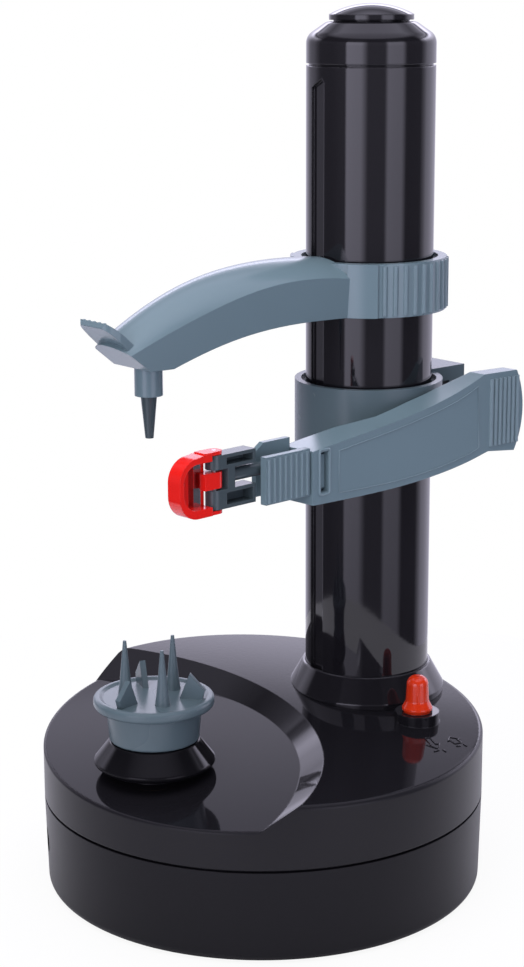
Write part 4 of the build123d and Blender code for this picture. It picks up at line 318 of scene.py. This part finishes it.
# ------------------------------------------------------------------ battery contacts and door
# Strips of zinc-plated spring steel at both ends of the bay press on the cells. The door is
# moulded of the tub's black ABS and swings down on a hinge in the tub's floor.
def metal(name, colour, roughness, lines=700.0, skin=0.01):
    """Bare metal with fine lines from turning or rolling, skin millimetres deep."""
    made = bpy.data.materials.new(name)
    made.use_nodes = True
    tree = made.node_tree
    shader = tree.nodes["Principled BSDF"]
    shader.inputs["Metallic"].default_value = 1.0
    groove_tone, smoothest, roughest = 0.88, 0.7, 1.4
    place = node_of(tree, "ShaderNodeTexCoord")
    stretch = node_of(tree, "ShaderNodeMapping", Scale=(0.15, 0.15, 1.0))
    wire(tree, place.outputs["Object"], stretch.inputs["Vector"])
    streaks = node_of(tree, "ShaderNodeTexNoise", Scale=lines, Detail=3.0, Roughness=0.6)
    wire(tree, stretch.outputs[0], streaks.inputs["Vector"])
    low = tuple(c * groove_tone for c in colour)
    tones = ramp_of(tree, streaks.outputs["Fac"], [(0.35, low), (0.65, colour)])
    wire(tree, tones, shader.inputs["Base Color"])
    wear = node_of(tree, "ShaderNodeMapRange")
    wear.inputs["To Min"].default_value = roughness * smoothest
    wear.inputs["To Max"].default_value = roughness * roughest
    wire(tree, streaks.outputs["Fac"], wear.inputs["Value"])
    wire(tree, wear.outputs[0], shader.inputs["Roughness"])
    bump = node_of(tree, "ShaderNodeBump", Distance=skin * 0.001)
    wire(tree, streaks.outputs["Fac"], bump.inputs["Height"])
    wire(tree, bump.outputs[0], shader.inputs["Normal"])
    return made


zinc = metal("zinc_plate", (0.52, 0.52, 0.5), 0.3, lines=300.0)
dress(zinc, "battery_contacts")
dress(satin, "battery_door")

# ------------------------------------------------------------------ motor and gear train
# A small can motor drives white acetal gears on ground steel shafts, which the black gear
# plate holds upright. The pinion and the spindle's bush are pressed and sintered bronze.
dress(zinc, "drive_motor")
steel = metal("polished_steel", (0.62, 0.62, 0.63), 0.16)
dress(steel, "motor_shaft", "step_axle", "idler_axle", "spindle_shaft")
bronze = metal("sintered_bronze", (0.45, 0.28, 0.12), 0.45, lines=1500.0, skin=0.02)
dress(bronze, "spindle_bush", "motor_pinion")
acetal = moulded("white_acetal", (0.68, 0.67, 0.62), 0.35, cloud=0.02)
shader = acetal.node_tree.nodes["Principled BSDF"]
shader.inputs["Subsurface Weight"].default_value = 0.1
shader.inputs["Subsurface Scale"].default_value = 0.002
dress(acetal, "screw_gear", "step_gear", "idler_gear", "spindle_gear")
dress(satin, "gear_plate")

# ------------------------------------------------------------------ upper housing
# The drum's lid: injection-moulded black ABS. The mould is polished for the deck and the drip
# tray and lightly etched for the side, so the top mirrors the room and the side is satin.
lid_black = (0.0085, 0.0081, 0.0100)
deck_roughness = 0.05
side_roughness = 0.34
side_radius = 0.0668
etch_depth = 0.00002
lid = moulded(
    "polished_and_etched_black", lid_black, deck_roughness, gloss=0.2, skin=0.003, edge=0.0005
)
tree = lid.node_tree
shader = tree.nodes["Principled BSDF"]
place = node_of(tree, "ShaderNodeTexCoord")
split = node_of(tree, "ShaderNodeSeparateXYZ")
wire(tree, place.outputs["Object"], split.inputs[0])
across = maths(tree, "MULTIPLY", split.outputs["X"], split.outputs["X"])
along = maths(tree, "MULTIPLY", split.outputs["Y"], split.outputs["Y"])
from_axis = maths(tree, "POWER", maths(tree, "ADD", across, along), 0.5)
etched = maths(tree, "GREATER_THAN", from_axis, side_radius)
rough = maths(tree, "MULTIPLY", etched, side_roughness - deck_roughness)
rough = maths(tree, "ADD", rough, deck_roughness)
wire(tree, rough, shader.inputs["Roughness"])
texture = node_of(tree, "ShaderNodeTexNoise", Scale=etch_grain, Detail=1.0)
wire(tree, place.outputs["Object"], texture.inputs["Vector"])
bump = node_of(tree, "ShaderNodeBump", Distance=etch_depth)
wire(tree, maths(tree, "MULTIPLY", texture.outputs["Fac"], etched), bump.inputs["Height"])
wire(tree, shader.inputs["Normal"].links[0].from_socket, bump.inputs["Normal"])
wire(tree, bump.outputs[0], shader.inputs["Normal"])
dress(lid, "upper_housing")

# ------------------------------------------------------------------ screws of the base
# Zinc-plated self-tapping screws: four from below hold the drum's halves together, and the
# short ones hold the gear plate on the tub's posts.
dress(zinc, "housing_screws", "plate_screws")

# ------------------------------------------------------------------ switch
# The pull and push knob is an orange-red bullet of glossy ABS on a white acetal rod, which
# works the black snap switch on the gear plate.
orange = moulded("orange_knob", (0.58, 0.032, 0.006), 0.1, cloud=0.02)
dress(orange, "switch_knob")
dress(acetal, "switch_rod")
dress(satin, "switch_body")


# ------------------------------------------------------------------ switch marks
# Two arrow outlines moulded on the deck beside the knob, a fraction of a millimetre proud,
# show its two places. They and the dashes under them are part of the lid's moulding.
deck_height, deck_rise = 0.0518, 0.07
mark_radius = 0.0003


def raised_line(name, points, radius, body, material, closed=False):
    """Round bead along the points, sunk by half into the surface that it is on."""
    line = bpy.data.curves.new(name, "CURVE")
    line.dimensions = "3D"
    line.bevel_depth = radius
    line.bevel_resolution = 3
    line.use_fill_caps = True
    spline = line.splines.new("POLY")
    spline.points.add(len(points) - 1)
    for point, place in zip(spline.points, points):
        point.co = (*place, 1.0)
    spline.use_cyclic_u = closed
    held = bpy.data.objects.new(name, line)
    bpy.context.scene.collection.objects.link(held)
    line.materials.append(material)
    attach(held, body)


def on_deck(x, y):
    return (x, y, deck_height + deck_rise * y)


def arrow_mark(name, foot, tip, head, half, wing):
    """Outline of an arrow: its head's length, and half its shaft's and its head's widths."""
    foot, tip = Vector(foot), Vector(tip)
    ahead = (tip - foot).normalized()
    aside = Vector((-ahead.y, ahead.x))
    neck = tip - ahead * head
    corners = [foot - aside * half, neck - aside * half, neck - aside * wing, tip]
    corners += [neck + aside * wing, neck + aside * half, foot + aside * half]
    outline = [on_deck(*corner) for corner in corners]
    raised_line(name, outline, mark_radius, "base", lid, closed=True)


arrow_mark(
    "push_arrow", foot=(0.0274, -0.0440), tip=(0.0244, -0.0514), head=0.0031, half=0.0008,
    wing=0.0021,
)
arrow_mark(
    "pull_arrow", foot=(0.0325, -0.0522), tip=(0.0335, -0.0476), head=0.0022, half=0.0012,
    wing=0.0021,
)
dashes = [
    ((0.0221, -0.0525), (0.0240, -0.0526)),
    ((0.0252, -0.0531), (0.0249, -0.0545)),
    ((0.0304, -0.0535), (0.0316, -0.0540)),
    ((0.0332, -0.0538), (0.0330, -0.0552)),
]
for index, ends in enumerate(dashes):
    dash = [on_deck(*end) for end in ends]
    raised_line(f"dash_{index}", dash, mark_radius, "base", lid)

# ------------------------------------------------------------------ drive hub
# Black cone fixed on the end of the spindle, with a hexagon on top that turns the cup. It is
# moulded of ABS. Its black is darker and less glossy than the column's: painted shade.
hub_black_painted_shade = moulded(
    "gloss_black_hub_painted_shade", (0.006, 0.0058, 0.007), 0.06, gloss=0.12, skin=0.004, edge=0.0005
)
dress(hub_black_painted_shade, "drive_hub")

# ------------------------------------------------------------------ prong cup
# The cup with the spikes that hold the fruit, one moulding of blue-grey ABS. It lifts off the
# hub's hexagon for cleaning. Its colour is painted shade: the arm's blue-grey darkened to
# about six tenths, and made less glossy, not a darker plastic.
# Painted shade: the arm's blue-grey at about six tenths and duller, for the cup, the sleeve
# and the nut's cover.
grey_painted_shade = moulded(
    "blue_grey_abs_painted_shade", (0.086, 0.122, 0.138), 0.27, cloud=0.02, gloss=0.3, skin=0.004
)
dress(grey_painted_shade, "prong_cup")

# ------------------------------------------------------------------ column
# The tube, its foot ring, cap and button-shaped top are gloss black mouldings that stand in
# the lid's socket. The bush in the cap, which holds the lead screw's end, is acetal.
tube = moulded("gloss_black", (0.0085, 0.008, 0.010), 0.045, skin=0.002, edge=0.0006)
dress(tube, "column_tube", "column_foot", "column_cap", "cap_dome")
dress(acetal, "top_bush")

# ------------------------------------------------------------------ lead screw
# Acetal screw that carries the carriage down: a trapezoid thread cut on the whole length
# between its two journals. It shows through the slot in the back of the column.
low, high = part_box("lead_screw")
screw_x, screw_y = (low[0] + high[0]) / 2, (low[1] + high[1]) / 2
crest = (high[0] - low[0]) / 2
thread_depth = 0.0008
pitch = 0.004
journal = 0.003
thread_foot, thread_top = 0.0342, 0.2359
screw_sides = 32
levels_a_turn = 8
step = pitch / levels_a_turn


def thread_radius(z, angle):
    """Crest and flanks each a fifth of the pitch wide, and a root of two fifths."""
    phase = (z / pitch - angle / (2 * math.pi)) % 1.0
    rise = min(1.0, max(0.0, 1.5 - abs(phase - 0.5) * 5))
    return crest - thread_depth * (1 - rise)


def screw_ring(z, radius=None):
    """Ring of points round the screw, of the given radius or else on the thread."""
    ring = []
    for side in range(screw_sides):
        angle = 2 * math.pi * side / screw_sides
        reach = radius or thread_radius(z, angle)
        ring.append((screw_x + reach * math.cos(angle), screw_y + reach * math.sin(angle), z))
    return ring


def skin_rings(mesh, rings):
    """Tube through the rings of points, with a flat cap on both ends."""
    loops = [[mesh.verts.new(point) for point in ring] for ring in rings]
    for near, far in zip(loops, loops[1:]):
        for side, following in enumerate([*range(1, len(near)), 0]):
            mesh.faces.new((near[side], near[following], far[following], far[side]))
    mesh.faces.new(list(reversed(loops[0])))
    mesh.faces.new(loops[-1])
    bmesh.ops.recalc_face_normals(mesh, faces=mesh.faces)


def finished(name, mesh, material):
    """Object made of the mesh, shaded smooth."""
    held = bpy.data.objects.new(name, bpy.data.meshes.new(name))
    mesh.to_mesh(held.data)
    mesh.free()
    for face in held.data.polygons:
        face.use_smooth = True
    held.data.materials.append(material)
    bpy.context.scene.collection.objects.link(held)
    return held


levels = [thread_foot + step * i for i in range(int((thread_top - thread_foot) / step))]
rings = [screw_ring(low[2], journal), screw_ring(thread_foot, journal)]
rings += [screw_ring(z) for z in [*levels, thread_top]]
rings += [screw_ring(thread_top, journal), screw_ring(high[2], journal)]
mesh = bmesh.new()
skin_rings(mesh, rings)
threaded = finished("threaded_screw", mesh, acetal)
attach(threaded, "screw")
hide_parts("lead_screw")

# ------------------------------------------------------------------ holding arm
# One blue-grey ABS moulding: ribbed ring, arched arm and thumb tab, with the pin's socket
# pressed in under its end. It slides up the column when the thumb lifts the tab.
grey = moulded("blue_grey_abs", (0.138, 0.203, 0.230), 0.2, cloud=0.02, skin=0.004)
dress(grey, "upper_arm", "pin_socket")

# Rows of low bumps on the tab: how far each is beyond the spindle and above the pin block.
spindle_x = -0.042
pin_block = 0.165
bump_rows = [(0.0146, 0.0116), (0.0165, 0.0131), (0.0184, 0.0144)]
bump_spacing = 0.0024
bump_radius = 0.00055
flattened = (1, 1, 0.6)
mesh = bmesh.new()
for row, (beyond, rise) in enumerate(bump_rows):
    gaps = 4 - row % 2
    for index in range(gaps + 1):
        y = (index - gaps / 2) * bump_spacing
        ball = bmesh.ops.create_uvsphere(mesh, u_segments=12, v_segments=6, radius=bump_radius)
        bmesh.ops.scale(mesh, vec=flattened, verts=ball["verts"])
        centre = (spindle_x - beyond, y, pin_block + rise)
        bmesh.ops.translate(mesh, vec=centre, verts=ball["verts"])
grips = finished("thumb_tab_grips", mesh, grey)
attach(grips, "holding_arm")

# ------------------------------------------------------------------ centre pin
# The pointed pin under the arm's end, which turns with the fruit: a darker grey ABS moulding
# that snaps into the pin's socket.
dark_grey = moulded("dark_grey_abs", (0.050, 0.070, 0.078), 0.24, cloud=0.03)
dress(dark_grey, "centre_pin")

# ------------------------------------------------------------------ carriage
# Sleeve of blue-grey ABS with a key that runs in the column's keyway, and the half nut's box
# moulded on its far side. A steel pin through it carries the blade arm and its coil spring.
# The sleeve takes the darkened copy of the arm's blue-grey: painted shade, the plastic is the
# arm's.
dress(grey_painted_shade, "carriage_sleeve")
dress(steel, "arm_pivot_pin", "arm_spring")

# ------------------------------------------------------------------ blade arm
# Grey channel-shaped lever with a ribbed thumb grip, which turns on the carriage's pin. A
# bead runs round its front panel and round the slot for the cartridge's catch.
dress(grey, "blade_arm")
pivot_x, pivot_y = 0.046, -0.028
arm_turn = math.radians(3.5)
arm_front = -0.0055


def on_arm(u, z):
    """Place on the arm's front wall: u from the pivot towards the grip, and the height."""
    x = pivot_x + u * math.cos(arm_turn) - arm_front * math.sin(arm_turn)
    y = pivot_y + u * math.sin(arm_turn) + arm_front * math.cos(arm_turn)
    return (x, y, z)


def smooth_line(points, count):
    """Points of a smooth curve through the given (u, z) places, count of them to a run."""
    padded = [points[0], *points, points[-1]]
    line = []
    for index in range(len(points) - 1):
        a, b, c, d = [Vector(place) for place in padded[index:index + 4]]
        for part in range(count):
            t = part / count
            line.append(
                0.5 * ((2 * b) + (c - a) * t + (2 * a - 5 * b + 4 * c - d) * t * t
                       + (3 * b - a - 3 * c + d) * t * t * t)
            )
    line.append(Vector(points[-1]))
    return line


panel_top = [
    (-0.0485, 0.1405), (-0.0424, 0.1412), (-0.024, 0.1432), (-0.005, 0.1461),
    (0.005, 0.1484), (0.0118, 0.1508),
]
panel_foot = [
    (0.0128, 0.1326), (0.0105, 0.1310), (-0.0044, 0.1287), (-0.0238, 0.1276),
    (-0.0485, 0.1282),
]
parts_a_run = 6
bead_radius = 0.00022
panel = smooth_line(panel_top, parts_a_run) + smooth_line(panel_foot, parts_a_run)
panel_edge = [on_arm(*place) for place in panel]
raised_line(
    "arm_panel_bead", panel_edge, bead_radius, "cutting_arm", grey, closed=True
)

slot_left, slot_right = -0.0564, -0.0523
slot_foot, slot_top = 0.1288, 0.1418
corner, corner_parts = 0.0008, 4
rim_radius = 0.0004
corner_centres = [
    (slot_right - corner, slot_top - corner), (slot_left + corner, slot_top - corner),
    (slot_left + corner, slot_foot + corner), (slot_right - corner, slot_foot + corner),
]
slot_edge = []
for quarter, (u, z) in enumerate(corner_centres):
    for part in range(corner_parts + 1):
        angle = math.radians(90 * (quarter + part / corner_parts))
        slot_edge.append(on_arm(u + corner * math.cos(angle), z + corner * math.sin(angle)))
raised_line(
    "catch_slot_rim", slot_edge, rim_radius, "cutting_arm", grey, closed=True
)

# ------------------------------------------------------------------ half nut
# Acetal half nut that a spring keeps in the screw's thread. Its box is closed by a cover, and
# a black ABS button in the box's front draws it off the screw.
dress(acetal, "half_nut")
# The cover takes the darkened copy of the arm's blue-grey too: painted shade.
dress(grey_painted_shade, "nut_cover")
button_black = moulded("black_button", (0.012, 0.012, 0.014), 0.3)
dress(button_black, "release_button")

# ------------------------------------------------------------------ half nut's spring
# Coil of spring steel wire between the half nut and the box's cover. It shortens towards the
# cover by the half nut's travel when the release button is pressed.
low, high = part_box("nut_spring")
length = high[0] - low[0]
wire_radius = 0.00025
coil_radius = (high[1] - low[1]) / 2 - wire_radius
coil_axis = ((low[1] + high[1]) / 2, (low[2] + high[2]) / 2)
run = length - wire_radius * 2
turns, parts_a_turn = 4, 28
steps = turns * parts_a_turn
wire_sides = 10
rings = []
for index in range(steps + 1):
    angle = 2 * math.pi * turns * index / steps
    outward = Vector((0, math.cos(angle), math.sin(angle)))
    centre = Vector((low[0] + wire_radius + run * index / steps, *coil_axis))
    centre += outward * coil_radius
    ring = []
    for side in range(wire_sides):
        around = 2 * math.pi * side / wire_sides
        reach = outward * math.cos(around) + Vector((1, 0, 0)) * math.sin(around)
        ring.append(centre + reach * wire_radius)
    rings.append(ring)
mesh = bmesh.new()
skin_rings(mesh, rings)
return_spring = finished("half_nut_spring", mesh, steel)
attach(return_spring, "carriage")
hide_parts("nut_spring")
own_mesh(return_spring)

# ------------------------------------------------------------------ cartridge and yoke
# The grey ABS cartridge plugs into the arm's end and snaps into its slot. The darker yoke of
# two channel bars rolls in it on a round neck.
dress(grey, "blade_cartridge")
dress(dark_grey, "blade_yoke")

# ------------------------------------------------------------------ blade shoe
# Red guard round the blade, glossy from the mould, on two steel pins in the yoke. The strip
# of stainless steel in it is stamped, ground on its edge and polished.
red = moulded("red_guard", (0.74, 0.012, 0.008), 0.16, cloud=0.03)
dress(red, "blade_shoe")
dress(steel, "peeling_blade", "shoe_pins")
